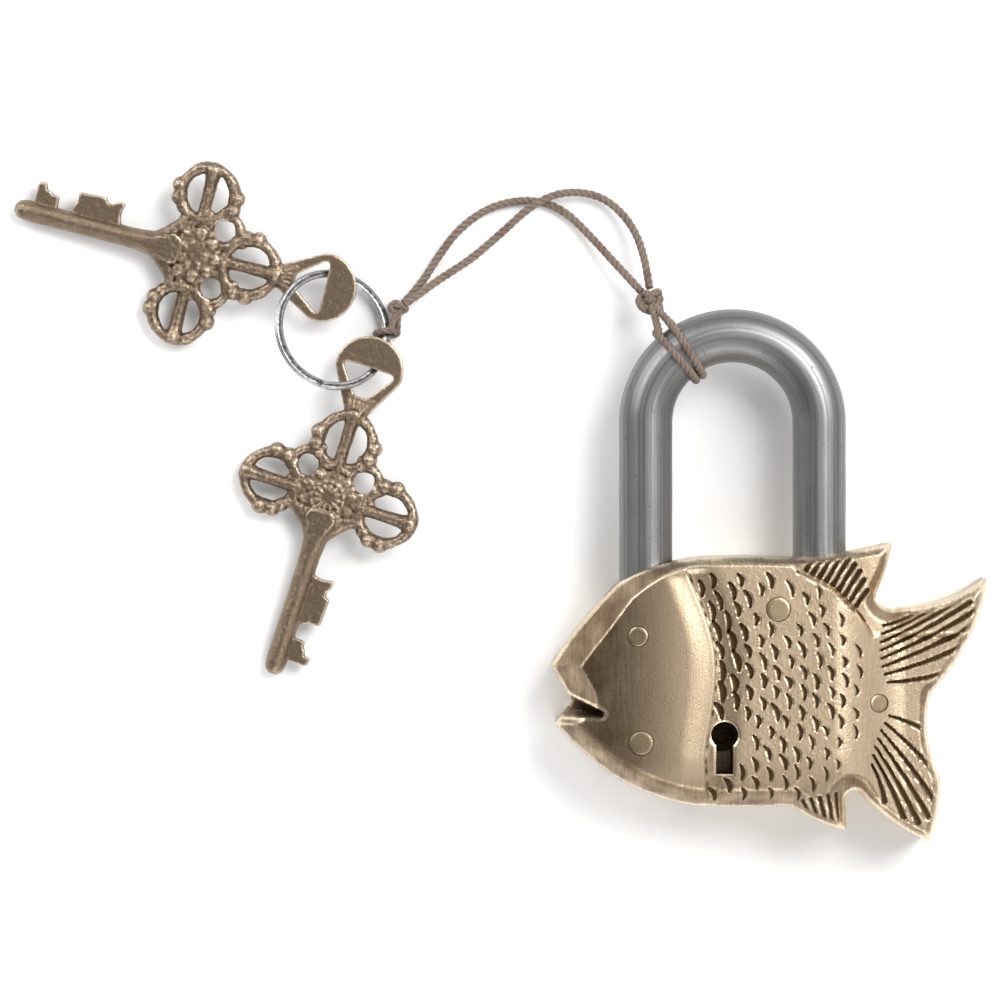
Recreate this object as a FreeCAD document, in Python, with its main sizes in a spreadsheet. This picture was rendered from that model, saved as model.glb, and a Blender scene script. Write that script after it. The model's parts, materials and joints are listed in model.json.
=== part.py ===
import FreeCAD, Part
import Sketcher
import math
import os

V = FreeCAD.Vector

# A cast brass padlock in the shape of a fish, with a steel shackle, two keys on a split ring
# and the waxed cord that ties the ring to the shackle. It lies on its flat back, +Z up, and
# the origin is the middle of the back face. The mouth points to -X and the shackle to +Y.

doc = FreeCAD.newDocument("fish_padlock")
sheet = doc.addObject("Spreadsheet::Sheet", "Sizes")

SIZES = {
    # The body: silhouette, walls and the two thicknesses of the casting.
    "body_length": 98.0,
    "body_height": 66.5,
    "body_thickness": 28.0,
    "fin_thickness": 22.0,
    "plate_thickness": 3.0,
    "front_wall": 3.0,
    # The shackle: a round bar bent over a half circle.
    "bar_diameter": 12.0,
    "leg_spacing": 39.0,
    "heel_x": 11.5,
    "arch_centre_y": 60.2,
    "toe_end_y": 15.3,
    "heel_end_y": -16.0,
    "shackle_lift": 16.0,
    "heel_clearance": 0.15,
    "toe_clearance": 0.6,
    "toe_slack": 1.5,
    "seat_gap": 0.3,
    # The pin that stops the heel, and its groove.
    "stop_pin_diameter": 3.4,
    "stop_pin_y": 8.0,
    "stop_pin_gap": 0.1,
    "groove_depth": 1.8,
    # The bolt, the two pins that guide it and the spring that holds it at either end.
    "bolt_throw": 4.0,
    "bolt_thickness": 3.4,
    "nose_y": 20.5,
    "nose_width": 3.6,
    "bolt_right": -2.6,
    "arm_width": 11.4,
    "arm_end_y": -6.5,
    "talon_width": 5.0,
    "talon_depth": 5.1,
    "guide_pin_diameter": 3.0,
    "guide_pin_x": -9.5,
    "guide_upper_y": 14.0,
    "guide_lower_y": 5.0,
    "sliding_clearance": 0.2,
    "detent_x": -9.0,
    "detent_depth": 0.8,
    "spring_thickness": 0.5,
    "leaf_rise": 1.3,
    "knuckle_radius": 0.9,
    "knuckle_gap": 0.1,
    "spring_post_x": -17.0,
    "spring_post_y": 24.5,
    "spring_post_diameter": 2.4,
    # The chamber that holds them.
    "chamber_left": -21.0,
    "chamber_right": -2.2,
    "chamber_top": 26.3,
    "chamber_bottom": -20.5,
    # The keyhole, its bush and its wards.
    "keyhole_x": -10.2,
    "keyhole_y": -9.7,
    "keyhole_diameter": 6.0,
    "keyhole_slot_width": 3.8,
    "keyhole_slot_reach": 8.7,
    "bush_diameter": 9.0,
    "bush_floor": 0.8,
    "ward_height": 7.2,
    "ward_thickness": 1.6,
    "ward_post_diameter": 2.4,
    "ward_post_inset": 2.0,
    "ward_post_right_inset": 1.4,
    # The flush rivets.
    "brow_rivet_diameter": 4.5,
    "cheek_rivet_diameter": 5.4,
    "back_rivet_diameter": 5.4,
    "tail_rivet_diameter": 4.0,
    # The keys.
    "key_length": 79.0,
    "key_thickness": 5.0,
    "shank_diameter": 4.6,
    "bit_reach": 7.3,
    "bit_thickness": 2.6,
    "bow_centre": 41.0,
    "lobe_distance": 13.9,
    "lobe_radius": 7.3,
    "lobe_wire": 2.2,
    "rosette_radius": 6.2,
    "round_hole_radius": 2.5,
    "round_hole_wall": 1.7,
    "round_hole_forward": 5.6,
    "round_hole_aside": 6.7,
    "spoke_width": 2.2,
    "spoke_thickness": 3.2,
    "tab_thickness": 1.2,
    "tab_half_width": 7.9,
    "tab_arm": 1.8,
    "tab_round": 8.0,
    "tab_overlap": 1.2,
    "tab_hole_shift": 0.6,
    "neck_half_width": 2.4,
    # The split ring.
    "ring_diameter": 28.0,
    "ring_width": 1.9,
    "ring_height": 1.5,
    "ring_tilt": 26.0,
    # The cord.
    "cord_diameter": 1.8,
    "loop_cord_diameter": 1.5,
    "loop_inner_radius": 1.35,
    "shackle_knot_radius": 3.3,
    "ring_knot_radius": 1.9,
}

for row, (alias, value) in enumerate(SIZES.items(), start=1):
    sheet.set(f"A{row}", alias)
    sheet.set(f"B{row}", str(value))
    sheet.setAlias(f"B{row}", alias)
doc.recompute()


def size(alias):
    return float(getattr(sheet, alias))


def on_sheet(formula):
    """A formula in the sheet's own names, written as an expression that reads the sheet."""
    words = formula.replace("(", " ( ").replace(")", " ) ").split()
    return " ".join("Sizes." + word if word in SIZES else word for word in words)


def bind(thing, prop, formula):
    thing.setExpression(prop, on_sheet(formula))


PIECES = []


def piece(thing, label):
    thing.Label = label
    PIECES.append(thing)
    return thing


def new_body(label):
    return piece(doc.addObject("PartDesign::Body", label), label)


PLANES = {"XY": "XY_Plane", "XZ": "XZ_Plane", "YZ": "YZ_Plane"}


def sketch_on(body, plane, name, offset="0"):
    """An empty sketch on one of the body's own origin planes, moved out along its normal."""
    origin = body.Origin.OriginFeatures
    face = next(f for f in origin if f.Role == PLANES[plane])
    sketch = body.newObject("Sketcher::SketchObject", name)
    sketch.AttachmentSupport = [(face, "")]
    sketch.MapMode = "FlatFace"
    bind(sketch, "AttachmentOffset.Base.z", offset)
    return sketch


def fix_point(sketch, edge, end, x, y, start=(1.0, 1.0)):
    """Hold one end of an edge at a place given by two formulas; start is where it is drawn."""
    for kind, formula, drawn in (("DistanceX", x, start[0]), ("DistanceY", y, start[1])):
        i = sketch.addConstraint(Sketcher.Constraint(kind, -1, 1, edge, end, drawn))
        bind(sketch, f"Constraints[{i}]", formula)


def circle(sketch, x, y, radius):
    edge = sketch.addGeometry(Part.Circle(V(1, 1, 0), V(0, 0, 1), 1))
    fix_point(sketch, edge, 3, x, y)
    i = sketch.addConstraint(Sketcher.Constraint("Radius", edge, 1.0))
    bind(sketch, f"Constraints[{i}]", radius)


def rectangle(sketch, left, bottom, right, top):
    corners = [V(0, 0, 0), V(1, 0, 0), V(1, 1, 0), V(0, 1, 0)]
    first = sketch.GeometryCount
    for i in range(4):
        sketch.addGeometry(Part.LineSegment(corners[i], corners[(i + 1) % 4]))
    for i in range(4):
        after = first + (i + 1) % 4
        sketch.addConstraint(Sketcher.Constraint("Coincident", first + i, 2, after, 1))
    for i, way in enumerate(("Horizontal", "Vertical", "Horizontal", "Vertical")):
        sketch.addConstraint(Sketcher.Constraint(way, first + i))
    fix_point(sketch, first, 1, left, bottom)
    fix_point(sketch, first + 2, 1, right, top)


def bulged(a, b, bulge):
    """A line, or an arc whose sagitta is bulge times half the chord: drawn anticlockwise."""
    if not bulge:
        return Part.LineSegment(a, b)
    chord = b - a
    crest = (a + b) * 0.5 + V(chord.y, -chord.x, 0) * 0.5 * bulge
    return Part.Arc(a, crest, b) if bulge > 0 else Part.Arc(b, crest, a)


def outline(sketch, points, scale=(1.0, 1.0), scale_formulas=("1", "1")):
    """A closed outline of (x, y, bulge to the next point), each point held by the sheet."""
    first = sketch.GeometryCount
    places = [V(x * scale[0], y * scale[1], 0) for x, y, _ in points]
    count = len(points)
    for i in range(count):
        sketch.addGeometry(bulged(places[i], places[(i + 1) % count], points[i][2]))
    for i in range(count):
        after = (i + 1) % count
        edge = sketch.Geometry[first + i]
        ends = (2, 1) if points[i][2] < 0 else (1, 2)
        for end, at in zip(ends, (i, after)):
            x, y = (f"{points[at][k]} * {scale_formulas[k]}" for k in (0, 1))
            fix_point(sketch, first + i, end, x, y, places[at])
        if points[i][2]:
            sketch.addConstraint(Sketcher.Constraint("Radius", first + i, edge.Radius))


def pad(body, sketch, length, name):
    feature = body.newObject("PartDesign::Pad", name)
    feature.Profile = sketch
    bind(feature, "Length", length)
    return feature


def pocket(body, sketch, length, name, along_normal=True):
    """Cut from the sketch's plane, along its normal or against it."""
    doc.recompute()
    before = body.Shape.Volume
    feature = body.newObject("PartDesign::Pocket", name)
    feature.Profile = sketch
    feature.Reversed = along_normal
    bind(feature, "Length", length)
    doc.recompute()
    if not body.Shape.Volume < before - 0.01:
        raise RuntimeError(f"{name} cuts nothing")
    return feature


def rod(name, x, y, z, diameter, length):
    """An upright cylinder."""
    cylinder = doc.addObject("Part::Cylinder", name)
    bind(cylinder, "Radius", f"( {diameter} ) / 2")
    bind(cylinder, "Height", length)
    for axis, formula in zip("xyz", (x, y, z)):
        bind(cylinder, f"Placement.Base.{axis}", formula)
    return cylinder


def block(name, x, y, z, length, width, height):
    """A box from its low corner."""
    box = doc.addObject("Part::Box", name)
    for prop, formula in (("Length", length), ("Width", width), ("Height", height)):
        bind(box, prop, formula)
    for axis, formula in zip("xyz", (x, y, z)):
        bind(box, f"Placement.Base.{axis}", formula)
    return box


def combine(kind, name, parts):
    whole = doc.addObject(f"Part::{kind}", name)
    if kind == "MultiFuse":
        whole.Shapes = parts
    else:
        whole.Base, whole.Tool = parts
    return whole


# Where things are, as formulas of the sheet.
BAR_Z = "( body_thickness / 2 )"
TOE_X = "( heel_x - leg_spacing )"
BAR_R = "( bar_diameter / 2 )"
CHAMBER_FLOOR = "plate_thickness"
CHAMBER_DEPTH = "( body_thickness - front_wall - plate_thickness )"
NOSE_TIP = f"( {TOE_X} + {BAR_R} + 2 * sliding_clearance )"
PRESS = "0.04"

# The silhouette of the whole fish, clockwise from the upper lip: (x, y, bulge). It is drawn
# for a fish this long and this high, and stretched to the sizes in the sheet.
DRAWN_LENGTH, DRAWN_HEIGHT = 98.0, 66.5
FISH = [
    (-48.8, 5.6, -0.06), (-33.5, 24.3, -0.12), (-13.0, 30.2, -0.02), (6.0, 30.0, 0.04),
    (27.6, 33.2, -0.06), (23.7, 21.4, 0.45), (29.5, 18.5, 0.16), (49.0, 25.6, -0.16),
    (36.2, -0.6, 0.18), (38.4, -19.5, -0.1), (36.0, -34.0, -0.12), (20.0, -22.2, 0.5),
    (16.8, -24.0, 0.0), (17.2, -31.2, -0.1), (4.7, -25.8, -0.03), (-17.1, -25.7, -0.1),
    (-35.3, -18.9, -0.05), (-48.1, -7.4, 0.0), (-43.9, -2.7, 0.0),
]
# The thick part of it, without its fins and tail.
TRUNK = [
    (-48.8, 5.6, -0.06), (-33.5, 24.3, -0.12), (-13.0, 30.2, -0.02), (6.0, 30.0, -0.1),
    (22.5, 19.0, 0.1), (22.5, -17.5, -0.06), (4.7, -25.8, -0.03), (-17.1, -25.7, -0.1),
    (-35.3, -18.9, -0.05), (-48.1, -7.4, 0.0), (-43.9, -2.7, 0.0),
]
FISH_SCALE = (size("body_length") / DRAWN_LENGTH, size("body_height") / DRAWN_HEIGHT)
FISH_FORMULAS = (f"body_length / {DRAWN_LENGTH}", f"body_height / {DRAWN_HEIGHT}")

# The flush rivets: (name, x, y, diameter).
RIVETS = [
    ("brow_rivet", "-29.5", "12.3", "brow_rivet_diameter"),
    ("cheek_rivet", "-28.8", "-11.5", "cheek_rivet_diameter"),
    ("back_rivet", "1.8", "18.4", "back_rivet_diameter"),
    ("tail_rivet", "24.5", "-2.7", "tail_rivet_diameter"),
]
STOP_PIN_X = f"( heel_x + {BAR_R} - groove_depth + stop_pin_diameter / 2 + stop_pin_gap )"
WARD_POSTS = [
    ("ward_post_left", "( chamber_left + ward_post_inset )"),
    ("ward_post_right", "( chamber_right - ward_post_right_inset )"),
]
WARD_POST_Y = "( chamber_bottom + ward_post_inset )"

KEYHOLE_SLOT = (
    "keyhole_x - keyhole_slot_width / 2", "keyhole_y - keyhole_slot_reach",
    "keyhole_x + keyhole_slot_width / 2", "keyhole_y",
)


def cut_keyhole(body, start, depth):
    hole = sketch_on(body, "XY", "keyhole_round", start)
    circle(hole, "keyhole_x", "keyhole_y", "keyhole_diameter / 2")
    pocket(body, hole, depth, "keyhole_round_cut")
    slot = sketch_on(body, "XY", "keyhole_slot", start)
    rectangle(slot, *KEYHOLE_SLOT)
    pocket(body, slot, depth, "keyhole_slot_cut")


def cut_round(body, x, y, diameter, start, depth, name):
    sketch = sketch_on(body, "XY", name, start)
    circle(sketch, x, y, f"( {diameter} ) / 2")
    return pocket(body, sketch, depth, name + "_cut")


def cut_box(body, box, start, depth, name):
    sketch = sketch_on(body, "XY", name, start)
    rectangle(sketch, *box)
    return pocket(body, sketch, depth, name + "_cut")


def bore_along_y(body, x, end_y, diameter, name):
    """A round bore open at the top edge of the body, its floor at end_y."""
    sketch = sketch_on(body, "XZ", name, f"-1 * ( {end_y} )")
    circle(sketch, x, BAR_Z, f"( {diameter} ) / 2")
    return pocket(body, sketch, "body_height", name + "_cut", along_normal=False)


# ---- The casting -------------------------------------------------------------------------
casting = new_body("front_casting")
silhouette = sketch_on(casting, "XY", "silhouette", "plate_thickness")
outline(silhouette, FISH, FISH_SCALE, FISH_FORMULAS)
pad(casting, silhouette, "fin_thickness - plate_thickness", "fish")
trunk = sketch_on(casting, "XY", "trunk_outline", "plate_thickness")
outline(trunk, TRUNK, FISH_SCALE, FISH_FORMULAS)
pad(casting, trunk, "body_thickness - plate_thickness", "trunk")
cut_box(
    casting, ("chamber_left", "chamber_bottom", "chamber_right", "chamber_top"),
    CHAMBER_FLOOR, CHAMBER_DEPTH, "chamber",
)
bore_along_y(casting, "heel_x", "heel_end_y - seat_gap", "bar_diameter + 2 * heel_clearance", "heel_bore")
bore_along_y(casting, TOE_X, "toe_end_y - seat_gap", "bar_diameter + 2 * toe_clearance", "toe_bore")
bore_along_y(
    casting, f"{TOE_X} + toe_slack", "toe_end_y - seat_gap",
    "bar_diameter + 2 * toe_clearance", "toe_slack_bore",
)
cut_keyhole(casting, "body_thickness - front_wall - 1", "front_wall + 2")
for rivet_name, rivet_x, rivet_y, diameter in RIVETS:
    cut_round(
        casting, rivet_x, rivet_y, f"{diameter} + {PRESS}", "0",
        "body_thickness + 1", rivet_name + "_hole",
    )
cut_round(
    casting, STOP_PIN_X, "stop_pin_y", f"stop_pin_diameter + {PRESS}", "0",
    "body_thickness - front_wall", "stop_pin_hole",
)

# ---- The back plate ----------------------------------------------------------------------
plate = new_body("back_plate")
plate_outline = sketch_on(plate, "XY", "plate_outline")
outline(plate_outline, FISH, FISH_SCALE, FISH_FORMULAS)
pad(plate, plate_outline, "plate_thickness", "plate")
for rivet_name, rivet_x, rivet_y, diameter in RIVETS:
    cut_round(
        plate, rivet_x, rivet_y, f"{diameter} + {PRESS}", "-1",
        "plate_thickness + 2", rivet_name + "_plate_hole",
    )
cut_round(
    plate, STOP_PIN_X, "stop_pin_y", f"stop_pin_diameter + {PRESS}", "-1",
    "plate_thickness + 2", "stop_pin_plate_hole",
)
cut_round(
    plate, "keyhole_x", "keyhole_y", f"bush_diameter + {PRESS}", "-1",
    "plate_thickness + 2", "bush_hole",
)

for rivet_name, rivet_x, rivet_y, diameter in RIVETS:
    top = "fin_thickness" if rivet_name == "tail_rivet" else "body_thickness"
    piece(rod(rivet_name, rivet_x, rivet_y, "0", diameter, top), rivet_name)
piece(
    rod("heel_stop_pin", STOP_PIN_X, "stop_pin_y", "0", "stop_pin_diameter",
        "body_thickness - front_wall"),
    "heel_stop_pin",
)

# ---- The shackle -------------------------------------------------------------------------
def leg(name, x, end_y):
    cylinder = rod(name, x, end_y, BAR_Z, "bar_diameter", f"arch_centre_y - {end_y}")
    cylinder.Placement.Rotation = FreeCAD.Rotation(V(1, 0, 0), -90)
    return cylinder


arch = doc.addObject("Part::Torus", "arch")
bind(arch, "Radius1", "leg_spacing / 2")
bind(arch, "Radius2", BAR_R)
arch.Angle3 = 180
for axis, formula in zip("xyz", ("heel_x - leg_spacing / 2", "arch_centre_y", BAR_Z)):
    bind(arch, f"Placement.Base.{axis}", formula)
toe_notch = block(
    "bolt_notch", f"{NOSE_TIP} - bolt_throw - 3 * sliding_clearance",
    "nose_y - nose_width / 2 - sliding_clearance", f"{BAR_Z} - bar_diameter",
    "bar_diameter", "nose_width + 2 * sliding_clearance", "2 * bar_diameter",
)
stop_groove = block(
    "stop_groove", f"heel_x + {BAR_R} - groove_depth",
    "stop_pin_y - shackle_lift - stop_pin_diameter / 2", f"{BAR_Z} - bar_diameter",
    "bar_diameter", "shackle_lift + stop_pin_diameter + sliding_clearance", "2 * bar_diameter",
)
piece(combine("Cut", "shackle", (
    combine("MultiFuse", "bent_bar", [
        leg("heel_leg", "heel_x", "heel_end_y"), leg("toe_leg", TOE_X, "toe_end_y"), arch,
    ]),
    combine("MultiFuse", "shackle_cuts", [toe_notch, stop_groove]),
)), "shackle")

# ---- The bolt and what guides it ---------------------------------------------------------
BOLT_Z = f"( {BAR_Z} - bolt_thickness / 2 )"
ARM_LEFT = "( bolt_right - arm_width )"
NOSE_TOP = "( nose_y + nose_width / 2 )"
bolt = new_body("bolt")
nose = sketch_on(bolt, "XY", "nose", BOLT_Z)
rectangle(nose, NOSE_TIP, "nose_y - nose_width / 2", "bolt_right", NOSE_TOP)
pad(bolt, nose, "bolt_thickness", "nose_bar")
arm = sketch_on(bolt, "XY", "arm", BOLT_Z)
rectangle(arm, ARM_LEFT, "arm_end_y", "bolt_right", NOSE_TOP)
pad(bolt, arm, "bolt_thickness", "arm_plate")
TALON_X = "( keyhole_x + bolt_throw / 2 )"
cut_box(
    bolt,
    (f"{TALON_X} - talon_width / 2", "arm_end_y - 1",
     f"{TALON_X} + talon_width / 2", "arm_end_y + talon_depth"),
    f"{BOLT_Z} - 1", "bolt_thickness + 2", "talon",
)
SLOT_HALF = "( guide_pin_diameter / 2 + sliding_clearance )"
for level in ("upper", "lower"):
    cut_box(
        bolt,
        (f"guide_pin_x - {SLOT_HALF}", f"guide_{level}_y - {SLOT_HALF}",
         f"guide_pin_x + bolt_throw + {SLOT_HALF}", f"guide_{level}_y + {SLOT_HALF}"),
        f"{BOLT_Z} - 1", "bolt_thickness + 2", f"{level}_slot",
    )
    piece(
        rod(f"guide_pin_{level}", "guide_pin_x", f"guide_{level}_y", CHAMBER_FLOOR,
            "guide_pin_diameter", CHAMBER_DEPTH),
        f"guide_pin_{level}",
    )
for notch_name, shift in (("rest_notch", "bolt_throw"), ("thrown_notch", "0")):
    notch = sketch_on(bolt, "XY", notch_name, f"{BOLT_Z} - 1")
    circle(notch, f"detent_x + {shift}", f"{NOSE_TOP} + detent_depth", "2 * detent_depth")
    pocket(bolt, notch, "bolt_thickness + 2", notch_name + "_cut")

# ---- The detent spring: a leaf on a post, its round nose in one of the bolt's notches ------
spring = new_body("detent_spring")
eye = sketch_on(spring, "XY", "spring_eye", f"{BOLT_Z}")
circle(eye, "spring_post_x", "spring_post_y", f"spring_post_diameter / 2 + {PRESS} / 2")
circle(
    eye, "spring_post_x", "spring_post_y",
    f"spring_post_diameter / 2 + {PRESS} / 2 + spring_thickness",
)
pad(spring, eye, "bolt_thickness", "eye")
LEAF_Y = f"( {NOSE_TOP} - detent_depth + knuckle_gap + leaf_rise )"
leaf = sketch_on(spring, "XY", "spring_leaf", f"{BOLT_Z}")
rectangle(
    leaf, "spring_post_x", f"{LEAF_Y} - spring_thickness / 2",
    "detent_x + bolt_throw", f"{LEAF_Y} + spring_thickness / 2",
)
pad(spring, leaf, "bolt_thickness", "leaf")
knuckle = sketch_on(spring, "XY", "spring_knuckle", f"{BOLT_Z}")
circle(
    knuckle, "detent_x + bolt_throw",
    f"{NOSE_TOP} - detent_depth + knuckle_gap + knuckle_radius", "knuckle_radius",
)
pad(spring, knuckle, "bolt_thickness", "knuckle")
piece(
    rod("spring_post", "spring_post_x", "spring_post_y", CHAMBER_FLOOR,
        "spring_post_diameter", CHAMBER_DEPTH),
    "spring_post",
)

# ---- The wards and the key's bush --------------------------------------------------------
WARD_Z = "( plate_thickness + ward_height )"
ward = new_body("ward_plate")
ward_outline = sketch_on(ward, "XY", "ward_outline", WARD_Z)
rectangle(
    ward_outline, "chamber_left + sliding_clearance", "chamber_bottom + sliding_clearance",
    "chamber_right - sliding_clearance", "keyhole_y + keyhole_slot_reach",
)
pad(ward, ward_outline, "ward_thickness", "ward")
cut_keyhole(ward, f"{WARD_Z} - 1", "ward_thickness + 2")
for post_name, post_x in WARD_POSTS:
    cut_round(
        ward, post_x, WARD_POST_Y, f"ward_post_diameter + {PRESS}", f"{WARD_Z} - 1",
        "ward_thickness + 2", post_name + "_hole",
    )
    piece(
        rod(post_name, post_x, WARD_POST_Y, CHAMBER_FLOOR, "ward_post_diameter", CHAMBER_DEPTH),
        post_name,
    )

bush = new_body("key_bush")
bush_round = sketch_on(bush, "XY", "bush_round")
circle(bush_round, "keyhole_x", "keyhole_y", "bush_diameter / 2")
pad(bush, bush_round, "plate_thickness", "bush")
cut_round(
    bush, "keyhole_x", "keyhole_y", "shank_diameter + 2 * sliding_clearance", "bush_floor",
    "plate_thickness", "bush_socket",
)

# ---- The keys ----------------------------------------------------------------------------
HALF = "( key_thickness / 2 )"
LOBES = [
    ("tab_lobe", "bow_centre + lobe_distance", "0"),
    ("left_lobe", "bow_centre", "lobe_distance"),
    ("right_lobe", "bow_centre", "-1 * lobe_distance"),
]
# The blades of the bits along the shank: (name, start, length, reach).
BITS = [
    ("tip_bit", "3.0", "2.4", "bit_reach"), ("tip_bit_step", "3.0", "5.2", "bit_reach - 1.9"),
    ("bow_bit", "11.8", "7.4", "bit_reach"), ("bow_bit_end", "20.8", "2.4", "bit_reach"),
    ("bow_bit_root", "11.8", "11.4", "bit_reach - 2.4"),
]


def make_key(label):
    """A key along +X from its tip, its bits to -Y, half of its thickness below z = 0."""
    shank = doc.addObject("Part::Cylinder", label + "_shank")
    bind(shank, "Radius", "shank_diameter / 2")
    bind(shank, "Height", "bow_centre - rosette_radius + 1")
    shank.Placement.Rotation = FreeCAD.Rotation(V(0, 1, 0), 90)
    metal, holes = [shank], []
    for name, start, long, reach in BITS:
        metal.append(block(
            f"{label}_{name}", start, f"-1 * ( {reach} )", "-1 * bit_thickness / 2",
            long, reach, "bit_thickness",
        ))
    metal.append(rod(
        label + "_rosette", "bow_centre", "0", f"-1 * {HALF}", "2 * rosette_radius",
        "key_thickness",
    ))
    for name, x, y in LOBES:
        metal.append(rod(
            f"{label}_{name}", x, y, f"-1 * {HALF}", "2 * lobe_radius", "key_thickness",
        ))
        holes.append(rod(
            f"{label}_{name}_eye", x, y, "-1 * key_thickness",
            "2 * ( lobe_radius - lobe_wire )", "2 * key_thickness",
        ))
    for side in (1, -1):
        x, y = "bow_centre + round_hole_forward", f"{side} * round_hole_aside"
        metal.append(rod(
            f"{label}_web_{side + 2}", x, y, f"-1 * {HALF}",
            "2 * ( round_hole_radius + round_hole_wall )", "key_thickness",
        ))
        holes.append(rod(
            f"{label}_round_{side + 2}", x, y, "-1 * key_thickness",
            "2 * round_hole_radius", "2 * key_thickness",
        ))
    solid = combine("Cut", label + "_bow", (
        combine("MultiFuse", label + "_metal", metal),
        combine("MultiFuse", label + "_holes", holes),
    ))
    reach = "( lobe_distance + lobe_radius - 1 )"
    spokes = [
        block(f"{label}_spoke_tab", "bow_centre", "-1 * spoke_width / 2",
              "-1 * spoke_thickness / 2", reach, "spoke_width", "spoke_thickness"),
        block(f"{label}_spoke_cross", "bow_centre - spoke_width / 2", f"-1 * {reach}",
              "-1 * spoke_thickness / 2", "spoke_width", f"2 * {reach}", "spoke_thickness"),
    ]
    tab = doc.addObject("Part::Feature", label + "_tab")
    tab.Shape = tab_shape()
    return piece(combine("MultiFuse", label, [solid, tab] + spokes), label)


def tab_shape():
    """The flat pierced tab: a neck that opens into two arms round a triangular hole."""
    start = size("bow_centre") + size("lobe_distance") + size("lobe_radius")
    start -= size("tab_overlap")
    tip, half, arm = size("key_length"), size("tab_half_width"), size("tab_arm")
    thick, widest = size("tab_thickness"), size("key_length") - size("tab_round")
    neck = size("neck_half_width")
    left, right = V(widest, half, 0), V(widest, -half, 0)
    outside = Part.Wire([
        Part.LineSegment(V(start, neck, 0), left).toShape(),
        Part.Arc(left, V(tip, 0, 0), right).toShape(),
        Part.LineSegment(right, V(start, -neck, 0)).toShape(),
        Part.LineSegment(V(start, -neck, 0), V(start, neck, 0)).toShape(),
    ])
    apex, base = V(start + neck, 0, 0), widest + size("tab_hole_shift")
    inner = half - arm
    triangle = Part.makePolygon([apex, V(base, inner, 0), V(base, -inner, 0), apex])
    flat = Part.Face(outside).extrude(V(0, 0, thick))
    hole = Part.Face(triangle).extrude(V(0, 0, thick))
    return flat.cut(hole).translated(V(0, 0, -thick / 2))


def lay_key(key, tip_x, tip_y, heading, lift, lean, face_up):
    """Lay a key with its tip on the ground at a point, along a heading: its bow end is lifted
    by an angle, and it leans by another about its own length."""
    turn = FreeCAD.Rotation(V(0, 0, 1), heading)
    pitch = FreeCAD.Rotation(V(0, 1, 0), -lift)
    roll = FreeCAD.Rotation(V(1, 0, 0), lean if face_up else 180 + lean)
    height = size("shank_diameter") / 2 / math.cos(math.radians(lift)) + GROUND_GAP
    key.Placement = FreeCAD.Placement(V(tip_x, tip_y, height), turn * pitch * roll)


GROUND_GAP = 0.05
lay_key(make_key("key_a"), -169.2, 108.9, -14.7, 4.0, 6.0, False)
lay_key(make_key("key_b"), -111.6, 4.4, 72.2, 4.15, -6.5, True)

# ---- The split ring ----------------------------------------------------------------------
ring_outer = doc.addObject("Part::Cylinder", "ring_outer")
bind(ring_outer, "Radius", "ring_diameter / 2")
bind(ring_outer, "Height", "ring_height")
ring_inner = doc.addObject("Part::Cylinder", "ring_inner")
bind(ring_inner, "Radius", "ring_diameter / 2 - ring_width")
bind(ring_inner, "Height", "ring_height")
ring = piece(combine("Cut", "split_ring", (ring_outer, ring_inner)), "split_ring")
RING_LOW_SIDE = math.radians(28.7)
low = V(math.cos(RING_LOW_SIDE), math.sin(RING_LOW_SIDE), 0)
tilt = FreeCAD.Rotation(V(-low.y, low.x, 0), size("ring_tilt"))
ring_middle = V(-98.1, 81.2, 7.5)
half_height = tilt.multVec(V(0, 0, size("ring_height") / 2))
ring.Placement = FreeCAD.Placement(ring_middle - half_height, tilt)

# ---- The cord ----------------------------------------------------------------------------
KNOT_AT = V(-26.2, 87.4, 9.5)
RING_KNOT_AT = V(-83.4, 86.0, 3.0)
CORD = size("cord_diameter")
WRAP_GAP = 0.05


def tube(label, points):
    """A cord along straight runs joined by tangent arcs as large as the runs allow."""
    runs = [(b - a).Length for a, b in zip(points, points[1:])]
    edges, here, radii = [], points[0], []
    for i in range(1, len(points) - 1):
        back = (points[i - 1] - points[i]).normalize()
        ahead = (points[i + 1] - points[i]).normalize()
        turn = math.pi - back.getAngle(ahead)
        reach = 0.45 * min(runs[i - 1], runs[i])
        radii.append(reach / math.tan(turn / 2))
        enter, leave = points[i] + back * reach, points[i] + ahead * reach
        sag = (back + ahead).normalize() * (radii[-1] / math.cos(turn / 2) - radii[-1])
        edges += [Part.LineSegment(here, enter).toShape(),
                  Part.Arc(enter, points[i] + sag, leave).toShape()]
        here = leave
    edges.append(Part.LineSegment(here, points[-1]).toShape())
    path = Part.Wire(edges)
    first = (points[1] - points[0]).normalize()
    section = Part.Wire([Part.Circle(points[0], first, CORD / 2).toShape()])
    solid = path.makePipeShell([section], True, True)
    share = solid.Volume / (math.pi * CORD ** 2 / 4 * path.Length)
    print(f"{label}: {path.Length:.1f} mm, volume share {share:.4f}, radii",
          [round(r, 1) for r in radii])
    cord = doc.addObject("Part::Feature", label)
    cord.Shape = solid
    return piece(cord, label)


def knot(label, middle, radius):
    ball = doc.addObject("Part::Sphere", label)
    bind(ball, "Radius", radius)
    ball.Placement.Base = middle
    return piece(ball, label)


def ring_of_cord(name, middle, axis, inner_radius, thickness):
    loop = doc.addObject("Part::Torus", name)
    loop.Radius1 = inner_radius + thickness / 2
    loop.Radius2 = thickness / 2
    loop.Placement = FreeCAD.Placement(middle, FreeCAD.Rotation(V(0, 0, 1), axis))
    return loop


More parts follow.
